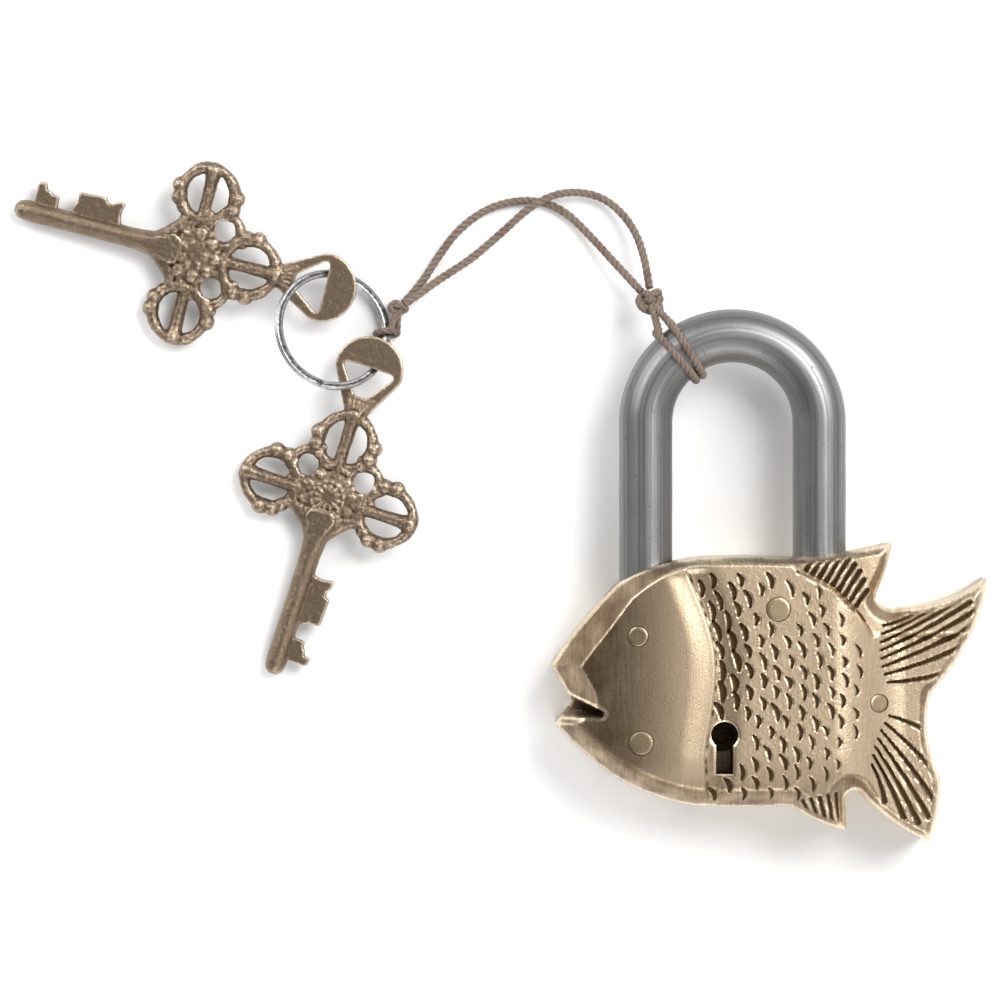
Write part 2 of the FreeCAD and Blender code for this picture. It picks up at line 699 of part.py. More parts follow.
STRAND_A = [
    V(-28.3, 89.8, 8.2), V(-33.6, 95.6, 5.0), V(-39.2, 102.0, 2.2), V(-46.0, 108.9, 1.0),
    V(-54.0, 111.2, 0.95), V(-62.6, 109.4, 0.95), V(-69.6, 104.4, 0.95),
    V(-74.6, 97.6, 0.95), V(-78.2, 91.6, 1.1), V(-82.1, 87.4, 2.5),
]
STRAND_B = [
    V(-26.5, 90.6, 8.4), V(-27.5, 98.2, 6.0), V(-30.8, 106.0, 3.6), V(-37.0, 111.8, 1.8),
    V(-45.4, 112.9, 2.6), V(-52.8, 109.9, 3.7), V(-59.6, 103.6, 2.0),
    V(-66.8, 97.4, 1.1), V(-73.4, 93.2, 2.2), V(-78.6, 89.4, 3.9), V(-81.9, 87.05, 4.4),
]
tube("cord_strand_a", STRAND_A)
tube("cord_strand_b", STRAND_B)
knot("shackle_knot", KNOT_AT, "shackle_knot_radius")
knot("ring_knot", RING_KNOT_AT, "ring_knot_radius")
ARCH_MIDDLE = V(
    size("heel_x") - size("leg_spacing") / 2, size("arch_centre_y"), size("body_thickness") / 2,
)
for label, angle in (("shackle_wrap_a", 130.5), ("shackle_wrap_b", 122.0)):
    out = V(math.cos(math.radians(angle)), math.sin(math.radians(angle)), 0)
    piece(ring_of_cord(
        label, ARCH_MIDDLE + out * (size("leg_spacing") / 2), V(-out.y, out.x, 0),
        size("bar_diameter") / 2 + WRAP_GAP, CORD,
    ), label)
# The loop round the ring's wire, squashed flat where it lies between the wire and the ground.
LOOP_TURN = math.radians(-28.7)
outward = tilt.multVec(V(low.x, low.y, 0) * math.cos(LOOP_TURN)
                       + V(-low.y, low.x, 0) * math.sin(LOOP_TURN))
wire_radius = (size("ring_diameter") - size("ring_width")) / 2
loop_middle = ring_middle + outward * wire_radius
whole_loop = ring_of_cord(
    "whole_loop", loop_middle, tilt.multVec(V(0, 0, 1)).cross(outward),
    size("loop_inner_radius"), size("loop_cord_diameter"),
)
under = doc.addObject("Part::Box", "under_ground")
UNDER = 12.0
under.Length = under.Width = under.Height = UNDER
under.Placement.Base = V(
    loop_middle.x - UNDER / 2, loop_middle.y - UNDER / 2, GROUND_GAP - UNDER,
)
piece(combine("Cut", "ring_loop", (whole_loop, under)), "ring_loop")

doc.recompute()
for thing in doc.Objects:
    if {"Invalid", "Error"} & set(thing.State):
        raise RuntimeError(f"{thing.Name} failed: {thing.State} {thing.getStatusString()}")
os.makedirs("parts", exist_ok=True)
for thing in PIECES:
    shape = thing.Shape
    if shape.isNull() or not shape.isValid():
        raise RuntimeError(f"{thing.Label} has no valid shape")
    shape.exportStep(f"parts/{thing.Label}.step")
    print(f"{thing.Label}: {len(shape.Solids)} solid, {shape.Volume:.1f} mm3")
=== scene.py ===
import json
import math

import bmesh
import bpy
import numpy as np
from mathutils import Matrix, Vector, geometry

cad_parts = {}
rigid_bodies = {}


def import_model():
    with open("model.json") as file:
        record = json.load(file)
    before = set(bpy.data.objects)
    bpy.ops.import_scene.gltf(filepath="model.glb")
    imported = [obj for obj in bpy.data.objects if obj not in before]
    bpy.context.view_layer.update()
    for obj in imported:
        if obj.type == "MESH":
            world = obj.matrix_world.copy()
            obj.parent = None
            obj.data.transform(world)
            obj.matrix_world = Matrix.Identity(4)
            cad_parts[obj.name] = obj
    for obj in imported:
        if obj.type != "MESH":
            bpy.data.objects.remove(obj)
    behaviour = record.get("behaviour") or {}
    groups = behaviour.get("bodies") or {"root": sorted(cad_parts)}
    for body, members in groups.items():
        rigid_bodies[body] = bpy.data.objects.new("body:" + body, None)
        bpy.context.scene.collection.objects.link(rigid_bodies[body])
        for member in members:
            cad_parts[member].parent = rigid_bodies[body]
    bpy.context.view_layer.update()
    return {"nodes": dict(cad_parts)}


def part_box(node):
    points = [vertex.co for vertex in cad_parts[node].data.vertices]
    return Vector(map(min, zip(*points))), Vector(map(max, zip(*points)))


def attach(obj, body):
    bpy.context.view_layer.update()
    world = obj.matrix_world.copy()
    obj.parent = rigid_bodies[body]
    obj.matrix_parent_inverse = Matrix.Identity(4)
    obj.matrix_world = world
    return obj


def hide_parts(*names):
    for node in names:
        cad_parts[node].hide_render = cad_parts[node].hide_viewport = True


# A cast brass fish padlock with its steel shackle, two bronze keys on a split ring, and the
# waxed cord that ties the ring to the shackle. Shapes are worked out in millimetres, in the
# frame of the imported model, and each finished mesh is then brought to metres.

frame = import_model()
scene = bpy.context.scene
MM = 0.001
chance = np.random.default_rng(11)


def box_mm(node):
    low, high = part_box(node)
    return np.array(low) / MM, np.array(high) / MM


# ---- The camera ----------------------------------------------------------------------------
VIEW_WIDTH = 225.0
VIEW_MIDDLE = (-60.3, 42.75)
VIEW_HEIGHT = 1500.0
SENSOR = 36.0
FACE_LEVEL = 14.0

camera_data = bpy.data.cameras.new("camera")
camera_data.sensor_width = SENSOR
camera_data.lens = SENSOR * (VIEW_HEIGHT - FACE_LEVEL) / VIEW_WIDTH
camera_data.clip_start, camera_data.clip_end = 0.05, 20.0
camera = bpy.data.objects.new("camera", camera_data)
camera.location = (VIEW_MIDDLE[0] * MM, VIEW_MIDDLE[1] * MM, VIEW_HEIGHT * MM)
scene.collection.objects.link(camera)
scene.camera = camera


# ---- Meshes --------------------------------------------------------------------------------
def piece_from(name, points, faces):
    """A mesh object, still in millimetres."""
    mesh = bpy.data.meshes.new(name)
    mesh.from_pydata(np.asarray(points, dtype=float).tolist(), [], [list(f) for f in faces])
    mesh.update()
    made = bpy.data.objects.new(name, mesh)
    scene.collection.objects.link(made)
    return made


def piece_from_bmesh(name, shape):
    mesh = bpy.data.meshes.new(name)
    shape.to_mesh(mesh)
    shape.free()
    made = bpy.data.objects.new(name, mesh)
    scene.collection.objects.link(made)
    return made


def drop(thing):
    data = thing.data
    bpy.data.objects.remove(thing)
    if data.users == 0:
        (bpy.data.curves if isinstance(data, bpy.types.Curve) else bpy.data.meshes).remove(data)


def settle(thing):
    """Make the result of the modifiers the mesh itself."""
    graph = bpy.context.evaluated_depsgraph_get()
    graph.update()
    mesh = bpy.data.meshes.new_from_object(thing.evaluated_get(graph))
    thing.modifiers.clear()
    old, thing.data = thing.data, mesh
    mesh.name = thing.name
    bpy.data.meshes.remove(old)
    return thing


def corners(mesh):
    values = np.empty(len(mesh.vertices) * 3)
    mesh.vertices.foreach_get("co", values)
    return values.reshape(-1, 3)


def set_corners(mesh, places):
    mesh.vertices.foreach_set("co", np.ascontiguousarray(places).ravel())
    mesh.update()


def normals(mesh):
    values = np.empty(len(mesh.vertices) * 3)
    mesh.vertex_normals.foreach_get("vector", values)
    return values.reshape(-1, 3)


def store(mesh, name, values, kind="FLOAT"):
    layer = mesh.attributes.get(name) or mesh.attributes.new(name, kind, "POINT")
    layer.data.foreach_set("value" if kind == "FLOAT" else "vector",
                           np.ascontiguousarray(values, dtype=float).ravel())


def neighbours_mean(mesh, places, rounds):
    pairs = np.empty(len(mesh.edges) * 2, dtype=np.int32)
    mesh.edges.foreach_get("vertices", pairs)
    one, other = pairs[0::2], pairs[1::2]
    count = len(places)
    degree = np.bincount(pairs, minlength=count).astype(float)
    degree[degree == 0] = 1
    places = places.copy()
    for _ in range(rounds):
        total = np.stack([
            np.bincount(one, places[other, k], count) + np.bincount(other, places[one, k], count)
            for k in range(places.shape[1])], axis=1)
        places = 0.4 * places + 0.6 * total / degree[:, None]
    return places


def mark_relief(thing, rounds, gain):
    """Store how a point stands among its neighbours: 0 sunk, 0.5 level, 1 proud."""
    mesh = thing.data
    places = corners(mesh)
    proud = ((places - neighbours_mean(mesh, places, rounds)) * normals(mesh)).sum(axis=1)
    proud = neighbours_mean(mesh, proud[:, None], 1)[:, 0]
    store(mesh, "relief", np.clip(0.5 + proud * gain, 0, 1))


def smooth_faces(thing, angle):
    thing.data.shade_smooth()
    thing.data.set_sharp_from_angle(angle=math.radians(angle))


def finished(thing, material, body, stands_for=(), place=Matrix.Identity(4)):
    """Bring a piece from millimetres to its place, and say what it is."""
    thing.data.transform(Matrix.Scale(MM, 4) @ place)
    thing.data.materials.clear()
    thing.data.materials.append(material)
    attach(thing, body)
    if stands_for:
        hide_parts(*stands_for)
    return thing


def carve(thing, cutters):
    """Cut closed shapes out of a closed piece. A cut that changes nothing is an error."""
    for cutter in cutters:
        before = len(thing.data.vertices), len(thing.data.polygons)
        cut = thing.modifiers.new("cut", "BOOLEAN")
        cut.operation, cut.solver, cut.object = "DIFFERENCE", "MANIFOLD", cutter
        settle(thing)
        if (len(thing.data.vertices), len(thing.data.polygons)) == before:
            raise RuntimeError(f"{thing.name} was not cut by {cutter.name}")
        drop(cutter)
    return thing


def rod_shape(start, end, radius, sides=64):
    """A round rod between two points, as a cutter."""
    start, end = Vector(start), Vector(end)
    shape = bmesh.new()
    bmesh.ops.create_cone(shape, cap_ends=True, segments=sides, radius1=radius, radius2=radius,
                          depth=(end - start).length)
    turn = (end - start).to_track_quat("Z", "Y").to_matrix().to_4x4()
    shape.transform(Matrix.Translation((start + end) / 2) @ turn)
    return piece_from_bmesh("rod_shape", shape)


def block_shape(low, high):
    shape = bmesh.new()
    bmesh.ops.create_cube(shape, size=1)
    low, high = Vector(low), Vector(high)
    shape.transform(Matrix.Translation((low + high) / 2)
                    @ Matrix.Diagonal((*(high - low), 1)))
    return piece_from_bmesh("block_shape", shape)


# ---- Paths and what is swept along them ----------------------------------------------------
def even_path(points, step, closed=False):
    """The same line with points an equal step apart."""
    points = np.asarray(points, dtype=float)
    if closed:
        points = np.vstack([points, points[:1]])
    lengths = np.r_[0, np.cumsum(np.linalg.norm(np.diff(points, axis=0), axis=1))]
    count = max(3, int(round(lengths[-1] / step)))
    at = np.linspace(0, lengths[-1], count + 1)
    even = np.stack([np.interp(at, lengths, points[:, k]) for k in range(3)], axis=1)
    return even[:-1] if closed else even


def steady_frames(path, closed=False):
    """A side and an up direction at each point, turning as little as they can."""
    if closed:
        ahead = np.roll(path, -1, axis=0) - np.roll(path, 1, axis=0)
    else:
        ahead = np.gradient(path, axis=0)
    ahead /= np.linalg.norm(ahead, axis=1)[:, None]
    first = np.cross(ahead[0], (0, 0, 1) if abs(ahead[0][2]) < 0.9 else (1, 0, 0))
    sides = [first / np.linalg.norm(first)]
    for way in ahead[1:]:
        side = sides[-1] - way * np.dot(sides[-1], way)
        sides.append(side / np.linalg.norm(side))
    sides = np.array(sides)
    ups = np.cross(ahead, sides)
    if closed:
        last = sides[-1] - ahead[0] * np.dot(sides[-1], ahead[0])
        slip = math.atan2(np.dot(last, ups[0]), np.dot(last, sides[0]))
        turn = -slip * np.arange(len(path)) / len(path)
        sides, ups = (sides * np.cos(turn)[:, None] + ups * np.sin(turn)[:, None],
                      ups * np.cos(turn)[:, None] - sides * np.sin(turn)[:, None])
    return ahead, sides, ups


def skin(rings, closed=False):
    """Faces over a row of equal rings, with flat ends unless the row is closed."""
    rows, across = rings.shape[:2]
    faces = []
    for i in range(rows if closed else rows - 1):
        a, b = i * across, (i + 1) % rows * across
        faces += [(a + j, a + (j + 1) % across, b + (j + 1) % across, b + j)
                  for j in range(across)]
    if not closed:
        faces.append(range(across - 1, -1, -1))
        faces.append(range((rows - 1) * across, rows * across))
    return rings.reshape(-1, 3), faces


def swept(path, outline, closed=False, scales=None):
    """Rings of a flat outline set square to the path, as wide at each point as scales says."""
    _, sides, ups = steady_frames(path, closed)
    scales = np.ones(len(path)) if scales is None else np.asarray(scales)
    outline = np.asarray(outline, dtype=float)
    return (path[:, None, :]
            + scales[:, None, None] * (sides[:, None, :] * outline[None, :, 0:1]
                                       + ups[:, None, :] * outline[None, :, 1:2]))


def round_outline(radius, sides):
    turn = np.arange(sides) * 2 * math.pi / sides
    return np.stack([np.cos(turn), np.sin(turn)], axis=1) * radius


def mesh_sum(parts):
    """Several (points, faces) as one."""
    points, faces, start = [], [], 0
    for some, over in parts:
        points.append(some)
        faces += [[start + k for k in face] for face in over]
        start += len(some)
    return np.vstack(points), faces


# ---- The cord ------------------------------------------------------------------------------
CORD = 1.8
LOOP_CORD = 1.5
STRAND_A = [
    (-0.0283, 0.0898, 0.0082), (-0.0336, 0.0956, 0.0050), (-0.0392, 0.1020, 0.0022),
    (-0.0460, 0.1089, 0.0010), (-0.0540, 0.1112, 0.00095), (-0.0626, 0.1094, 0.00095),
    (-0.0696, 0.1044, 0.00095), (-0.0746, 0.0976, 0.00095), (-0.0782, 0.0916, 0.0011),
    (-0.0821, 0.0874, 0.0025),
]
STRAND_B = [
    (-0.0265, 0.0906, 0.0084), (-0.0275, 0.0982, 0.0060), (-0.0308, 0.1060, 0.0036),
    (-0.0370, 0.1118, 0.0018), (-0.0454, 0.1129, 0.0026), (-0.0528, 0.1099, 0.0037),
    (-0.0596, 0.1036, 0.0020), (-0.0668, 0.0974, 0.0011), (-0.0734, 0.0932, 0.0022),
    (-0.0786, 0.0894, 0.0039), (-0.0819, 0.08705, 0.0044),
]


def cord_route(name, points):
    """The smooth line that a cord follows, read back from its spline, in metres."""
    curve = bpy.data.curves.new(name, "CURVE")
    curve.dimensions = "3D"
    curve.resolution_u = 16
    spline = curve.splines.new("NURBS")
    spline.points.add(len(points) - 1)
    for place, point in zip(spline.points, points):
        place.co = (*point, 1.0)
    spline.order_u = 3
    spline.use_endpoint_u = True
    holder = bpy.data.objects.new(name, curve)
    scene.collection.objects.link(holder)
    graph = bpy.context.evaluated_depsgraph_get()
    graph.update()
    line = bpy.data.meshes.new_from_object(holder.evaluated_get(graph))
    route = [vertex.co.copy() for vertex in line.vertices]
    bpy.data.meshes.remove(line)
    drop(holder)
    return route


def laid_cord(path, diameter, closed=False, lay_length=4.6, plies=3, step=0.3):
    """A laid cord of twisted plies along a path in millimetres: points, faces and relief, which the
    cord's material turns into painted shade between the plies.
    """
    path = even_path(path, step, closed)
    _, sides, ups = steady_frames(path, closed)
    count = len(path)
    length = step * count
    turns = max(1, round(length / lay_length)) if closed else length / lay_length
    swing = np.arange(count) / count * turns * 2 * math.pi
    radius = diameter / 2
    wobble = 1 + 0.05 * np.sin(np.arange(count) * 0.23) + 0.03 * np.sin(np.arange(count) * 0.71)
    if closed:
        wobble = np.ones(count)
    parts, relief = [], []
    for ply in range(plies):
        turn = swing + ply * 2 * math.pi / plies
        outward = sides * np.cos(turn)[:, None] + ups * np.sin(turn)[:, None]
        across = ups * np.cos(turn)[:, None] - sides * np.sin(turn)[:, None]
        middle = path + outward * (radius * 0.42 * wobble)[:, None]
        around = np.arange(10) * 2 * math.pi / 10
        rings = (middle[:, None, :]
                 + radius * 0.66 * (outward[:, None, :] * np.cos(around)[None, :, None] * 0.96
                                    + across[:, None, :] * np.sin(around)[None, :, None]))
        parts.append(skin(rings, closed))
        # Relief runs from 1 on the outer side of each ply to 0 on the side facing the other plies, where
        # painted shade goes.
        relief.append(np.tile(0.5 + 0.5 * np.cos(around), count))
    points, faces = mesh_sum(parts)
    return points, faces, np.concatenate(relief)


def cord_piece(name, runs):
    """One piece of laid cord from (path, diameter, closed) runs."""
    made = [laid_cord(path, diameter, closed) for path, diameter, closed in runs]
    points, faces = mesh_sum([(p, f) for p, f, _ in made])
    thing = piece_from(name, points, faces)
    store(thing.data, "relief", np.concatenate([r for _, _, r in made]))
    thing.data.shade_smooth()
    return thing


def knot_path(middle, radius, turn, lean):
    """A pulled-tight overhand knot that fits in a ball."""
    at = np.linspace(0, 2 * math.pi, 120, endpoint=False)
    line = np.stack([
        np.sin(at) + 2 * np.sin(2 * at), np.cos(at) - 2 * np.cos(2 * at), -1.7 * np.sin(3 * at),
    ], axis=1)
    line *= radius / 3.0
    spin = np.array(Matrix.Rotation(turn, 3, "Z") @ Matrix.Rotation(lean, 3, "X"))
    return line @ spin.T + np.asarray(middle)


# ---- Shader parts --------------------------------------------------------------------------
class Tree:
    """Adds nodes to a tree; a value that is a socket is linked, any other is set."""

    def __init__(self, tree):
        self.tree = tree

    def set(self, socket, value):
        if isinstance(value, bpy.types.NodeSocket):
            self.tree.links.new(value, socket)
        else:
            socket.default_value = value

    def node(self, kind, values=None, **settings):
        made = self.tree.nodes.new(kind)
        for key, setting in settings.items():
            setattr(made, key, setting)
        for key, value in (values or {}).items():
            self.set(made.inputs[key], value)
        return made

    def sum(self, operation, a, b=0.0):
        return self.node("ShaderNodeMath", {0: a, 1: b}, operation=operation).outputs[0]

    def blend(self, factor, a, b, kind="MIX"):
        made = self.node("ShaderNodeMix", data_type="RGBA", blend_type=kind)
        self.set(made.inputs[0], factor)
        self.set(made.inputs[6], a)
        self.set(made.inputs[7], b)
        return made.outputs[2]

    def fade(self, value, low, high, to_low=0.0, to_high=1.0):
        return self.node("ShaderNodeMapRange", {
            0: value, 1: low, 2: high, 3: to_low, 4: to_high,
        }, interpolation_type="SMOOTHSTEP").outputs[0]

    def cloud(self, vector, scale, detail=3.0, roughness=0.55):
        return self.node("ShaderNodeTexNoise", {
            "Vector": vector, "Scale": scale, "Detail": detail, "Roughness": roughness,
        }).outputs["Fac"]

    def stretched(self, vector, scale):
        return self.node("ShaderNodeMapping", {"Vector": vector, "Scale": scale}).outputs[0]

    def attribute(self, name, output="Fac"):
        return self.node("ShaderNodeAttribute", attribute_name=name).outputs[output]

    def objects(self):
        return self.node("ShaderNodeTexCoord").outputs["Object"]


def shader_group(name, inputs, outputs):
    group = bpy.data.node_groups.new(name, "ShaderNodeTree")
    for label, kind, value in inputs:
        socket = group.interface.new_socket(label, in_out="INPUT", socket_type=kind)
        if value is not None:
            socket.default_value = value
    for label, kind in outputs:
        group.interface.new_socket(label, in_out="OUTPUT", socket_type=kind)
    tree = Tree(group)
    return group, tree, tree.node("NodeGroupInput"), tree.node("NodeGroupOutput")


FLOAT, COLOUR, VECTOR = "NodeSocketFloat", "NodeSocketColor", "NodeSocketVector"


def make_tarnish():
    """Worn metal: dark dirt in what is sunk, bright worn metal on what stands proud. The dark colour is
    also painted shade inside the lock and on the split ring's flat faces, the bright colour is also a
    painted highlight on the split ring's edges, and the brown carries painted shade on the fish.
    """
    group, tree, given, out = shader_group("tarnish", [
        ("Vector", VECTOR, None), ("Relief", FLOAT, 0.5), ("Sunk", FLOAT, 0.0),
        ("Clean", COLOUR, (0.5, 0.4, 0.25, 1)), ("Grime And Shade", COLOUR, (0.05, 0.03, 0.015, 1)),
        ("Rubbed And Highlight", COLOUR, (0.7, 0.6, 0.42, 1)), ("Brown", COLOUR, (0.2, 0.13, 0.07, 1)),
        ("Browning And Painted Shade", FLOAT, 0.3), ("Base Roughness", FLOAT, 0.35),
    ], [("Colour", COLOUR), ("Roughness", FLOAT), ("Grime Mask", FLOAT)])
    vector = given.outputs["Vector"]
    patches = tree.cloud(vector, 160.0, 4.0, 0.6)
    specks = tree.cloud(vector, 1400.0, 4.0, 0.7)
    ragged = tree.sum("MULTIPLY", tree.sum("SUBTRACT", specks, 0.5), 0.34)
    level = tree.sum("SUBTRACT", tree.sum("ADD", given.outputs["Relief"], ragged),
                     tree.sum("MULTIPLY", given.outputs["Sunk"], 0.42))
    grime_and_shade = tree.fade(level, 0.46, 0.16)
    rubbed_and_highlight = tree.fade(level, 0.56, 0.82)
    browned = tree.sum("MULTIPLY", tree.fade(patches, 0.0, 0.9, 0.15, 1.0), given.outputs["Browning And Painted Shade"])
    colour = tree.blend(browned, given.outputs["Clean"], given.outputs["Brown"])
    colour = tree.blend(tree.fade(specks, 0.55, 0.75, 0.0, 0.35), colour, given.outputs["Brown"])
    colour = tree.blend(rubbed_and_highlight, colour, given.outputs["Rubbed And Highlight"])
    crumbs = tree.fade(tree.cloud(vector, 2600.0, 3.0, 0.7), 0.52, 0.70, 0.0, 0.6)
    crusted = tree.blend(crumbs, given.outputs["Grime And Shade"], given.outputs["Brown"])
    colour = tree.blend(grime_and_shade, colour, crusted)
    rough = tree.sum("ADD", given.outputs["Base Roughness"],
                     tree.sum("MULTIPLY", tree.sum("SUBTRACT", patches, 0.5), 0.2))
    rough = tree.sum("ADD", rough, tree.sum("MULTIPLY", grime_and_shade, 0.3))
    rough = tree.sum("SUBTRACT", rough, tree.sum("MULTIPLY", rubbed_and_highlight, 0.06))
    tree.set(out.inputs["Colour"], colour)
    tree.set(out.inputs["Roughness"], rough)
    tree.set(out.inputs["Grime Mask"], grime_and_shade)
    return group


def make_cast_grain():
    """The skin of a sand casting: fine lumps and scattered pits."""
    group, tree, given, out = shader_group("cast_grain", [
        ("Vector", VECTOR, None), ("Lump Scale", FLOAT, 2500.0), ("Pit Scale", FLOAT, 900.0),
        ("Pits", FLOAT, 0.5),
    ], [("Height", FLOAT), ("Pit Mask", FLOAT)])
    vector = given.outputs["Vector"]
    lumps = tree.cloud(vector, given.outputs["Lump Scale"], 3.0, 0.6)
    cells = tree.node("ShaderNodeTexVoronoi", {
        "Vector": vector, "Scale": given.outputs["Pit Scale"], "Randomness": 1.0,
    })
    where = tree.fade(tree.cloud(vector, 300.0, 2.0), 0.5, 0.62)
    pit = tree.sum("MULTIPLY", tree.fade(cells.outputs["Distance"], 0.24, 0.06), where)
    pit = tree.sum("MULTIPLY", pit, given.outputs["Pits"])
    tree.set(out.inputs["Height"], tree.sum("SUBTRACT", lumps, pit))
    tree.set(out.inputs["Pit Mask"], pit)
    return group


def make_brushing():
    """Fine parallel scratches along whichever axis the vector is stretched."""
    group, tree, given, out = shader_group("brushing", [
        ("Vector", VECTOR, None), ("Fine", FLOAT, 1.0), ("Coarse", FLOAT, 0.25),
    ], [("Streak", FLOAT), ("Band", FLOAT)])
    fine = tree.cloud(given.outputs["Vector"], given.outputs["Fine"], 4.0, 0.7)
    coarse = tree.cloud(given.outputs["Vector"], given.outputs["Coarse"], 3.0, 0.6)
    tree.set(out.inputs["Streak"], fine)
    tree.set(out.inputs["Band"], coarse)
    return group


TARNISH, CAST_GRAIN, BRUSHING = make_tarnish(), make_cast_grain(), make_brushing()


def material_tree(name):
    material = bpy.data.materials.new(name)
    material.use_nodes = True
    tree = Tree(material.node_tree)
    shader = material.node_tree.nodes["Principled BSDF"]
    return material, tree, shader


def bump(tree, shader, height, distance, strength=1.0):
    tree.set(shader.inputs["Normal"], tree.node("ShaderNodeBump", {
        "Height": height, "Distance": distance, "Strength": strength,
    }).outputs[0])


def group_in(tree, group, values):
    made = tree.node("ShaderNodeGroup", node_tree=group)
    for key, value in values.items():
        tree.set(made.inputs[key], value)
    return made


def cast_metal(name, clean, grime_and_shade, rubbed_and_highlight, brown, browning, roughness, streak_scale,
               streak_depth, lump_scale=2500.0, lumps=0.00004, pits=0.6, metallic=1.0,
               by_relief=True):
    """A cast, hand-finished metal: tarnish, sand-cast grain and the strokes of a brush, with painted
    shade and painted highlight where a piece's attributes ask for them.
    """
    material, tree, shader = material_tree(name)
    vector = tree.objects()
    # The shade attribute adds painted shade to the browning, and the sunk attribute brings painted shade
    # inside the lock.
    tarnish = group_in(tree, TARNISH, {
        "Vector": vector, "Relief": tree.attribute("relief") if by_relief else 0.5,
        "Sunk": tree.attribute("sunk") if by_relief else 0.0, "Clean": clean, "Grime And Shade": grime_and_shade,
        "Rubbed And Highlight": rubbed_and_highlight, "Brown": brown, "Base Roughness": roughness,
        "Browning And Painted Shade": browning if not by_relief else tree.sum(
            "ADD", tree.attribute("shade"), browning),
    })
    grain = group_in(tree, CAST_GRAIN, {"Vector": vector, "Lump Scale": lump_scale, "Pits": pits})
    brushed = group_in(tree, BRUSHING, {"Vector": tree.stretched(vector, streak_scale)})
    streaks = tree.fade(brushed.outputs["Streak"], 0.3, 0.7, 0.78, 1.12)
    colour = tree.blend(1.0, tarnish.outputs["Colour"], streaks, "MULTIPLY")
    colour = tree.blend(grain.outputs["Pit Mask"], colour, grime_and_shade)
    tree.set(shader.inputs["Base Color"], colour)
    tree.set(shader.inputs["Roughness"], tree.sum(
        "ADD", tarnish.outputs["Roughness"],
        tree.fade(brushed.outputs["Streak"], 0.3, 0.7, 0.06, -0.06)))
    shader.inputs["Metallic"].default_value = metallic
    height = tree.sum("ADD", grain.outputs["Height"],
                      tree.sum("MULTIPLY", brushed.outputs["Streak"], streak_depth))
    bump(tree, shader, height, lumps)
    return material


def bar_steel():
    """Drawn bar, brushed along its length, with old scratches and dark spots."""
    material, tree, shader = material_tree("shackle_steel")
    grain = tree.attribute("grain", "Vector")
    vector = tree.objects()
    brushed = group_in(tree, BRUSHING, {
        "Vector": tree.stretched(grain, (1.0, 26.0, 26.0)), "Fine": 1.0, "Coarse": 0.16,
    })
    pits = group_in(tree, CAST_GRAIN, {"Vector": vector, "Pits": 0.8})
    dark, light = (0.050, 0.047, 0.044, 1), (0.30, 0.302, 0.305, 1)
    band = tree.fade(brushed.outputs["Band"], 0.34, 0.68)
    streak = tree.fade(brushed.outputs["Streak"], 0.36, 0.64, 0.80, 1.08)
    colour = tree.blend(band, (0.175, 0.172, 0.170, 1), light)
    colour = tree.blend(1.0, colour, streak, "MULTIPLY")
    colour = tree.blend(pits.outputs["Pit Mask"], colour, dark)
    spots = tree.fade(tree.cloud(vector, 420.0, 4.0, 0.7), 0.60, 0.72)
    colour = tree.blend(tree.sum("MULTIPLY", spots, 0.5), colour, (0.13, 0.095, 0.07, 1))
    tree.set(shader.inputs["Base Color"], colour)
    tree.set(shader.inputs["Roughness"], tree.fade(brushed.outputs["Streak"], 0.3, 0.7, 0.46, 0.36))
    shader.inputs["Metallic"].default_value = 1.0
    bump(tree, shader, tree.sum("SUBTRACT", tree.sum("MULTIPLY", brushed.outputs["Streak"], 0.8),
                                pits.outputs["Pit Mask"]), 0.00005)
    return material


def waxed_cord():
    """Waxed cotton: taupe, with painted shade between its plies, flecked with red-brown wax."""
    material, tree, shader = material_tree("waxed_cord")
    vector = tree.objects()
    relief = tree.attribute("relief")
    fibres = tree.cloud(vector, 5200.0, 5.0, 0.75)
    patches = tree.cloud(vector, 230.0, 3.0, 0.6)
    # Painted shade: near-black where a ply faces the others, the cord's own taupe on its outer side.
    colour = tree.blend(tree.fade(relief, 0.1, 0.8), (0.030, 0.020, 0.014, 1),
                        (0.195, 0.145, 0.104, 1))
    colour = tree.blend(tree.fade(patches, 0.48, 0.66, 0.0, 0.7), colour, (0.115, 0.062, 0.045, 1))
    colour = tree.blend(tree.fade(fibres, 0.5, 0.75, 0.0, 0.55), colour, (0.40, 0.32, 0.25, 1))
    tree.set(shader.inputs["Base Color"], colour)
    tree.set(shader.inputs["Roughness"], tree.fade(patches, 0.3, 0.7, 0.72, 0.48))
    shader.inputs["Sheen Weight"].default_value = 0.15
    bump(tree, shader, fibres, 0.00012)
    return material


def plain_floor():
    material, tree, shader = material_tree("studio_floor")
    cloud = tree.cloud(tree.objects(), 9.0, 2.0)
    tree.set(shader.inputs["Base Color"], tree.blend(cloud, (0.86, 0.86, 0.86, 1),
                                                     (0.90, 0.90, 0.895, 1)))
    shader.inputs["Roughness"].default_value = 0.8
    return material


# The brass's brown is also the colour of the painted shade on the head and the edge bands.
BRASS = cast_metal(
    "cast_brass", (0.60, 0.465, 0.315, 1), (0.060, 0.036, 0.017, 1), (0.80, 0.67, 0.49, 1),
    (0.17, 0.112, 0.066, 1), 0.10, 0.36, (2600.0, 130.0, 130.0), 0.35)
RIVET_BRASS = cast_metal(
    "rivet_brass", (0.52, 0.41, 0.26, 1), (0.05, 0.03, 0.015, 1), (0.74, 0.63, 0.45, 1),
    (0.22, 0.15, 0.09, 1), 0.25, 0.34, (2600.0, 130.0, 130.0), 0.3)
BRONZE = cast_metal(
    "key_bronze", (0.275, 0.205, 0.143, 1), (0.030, 0.020, 0.012, 1), (0.56, 0.46, 0.345, 1),
    (0.12, 0.082, 0.052, 1), 0.30, 0.38, (420.0, 420.0, 420.0), 0.5, 3300.0, 0.00009, 0.7)
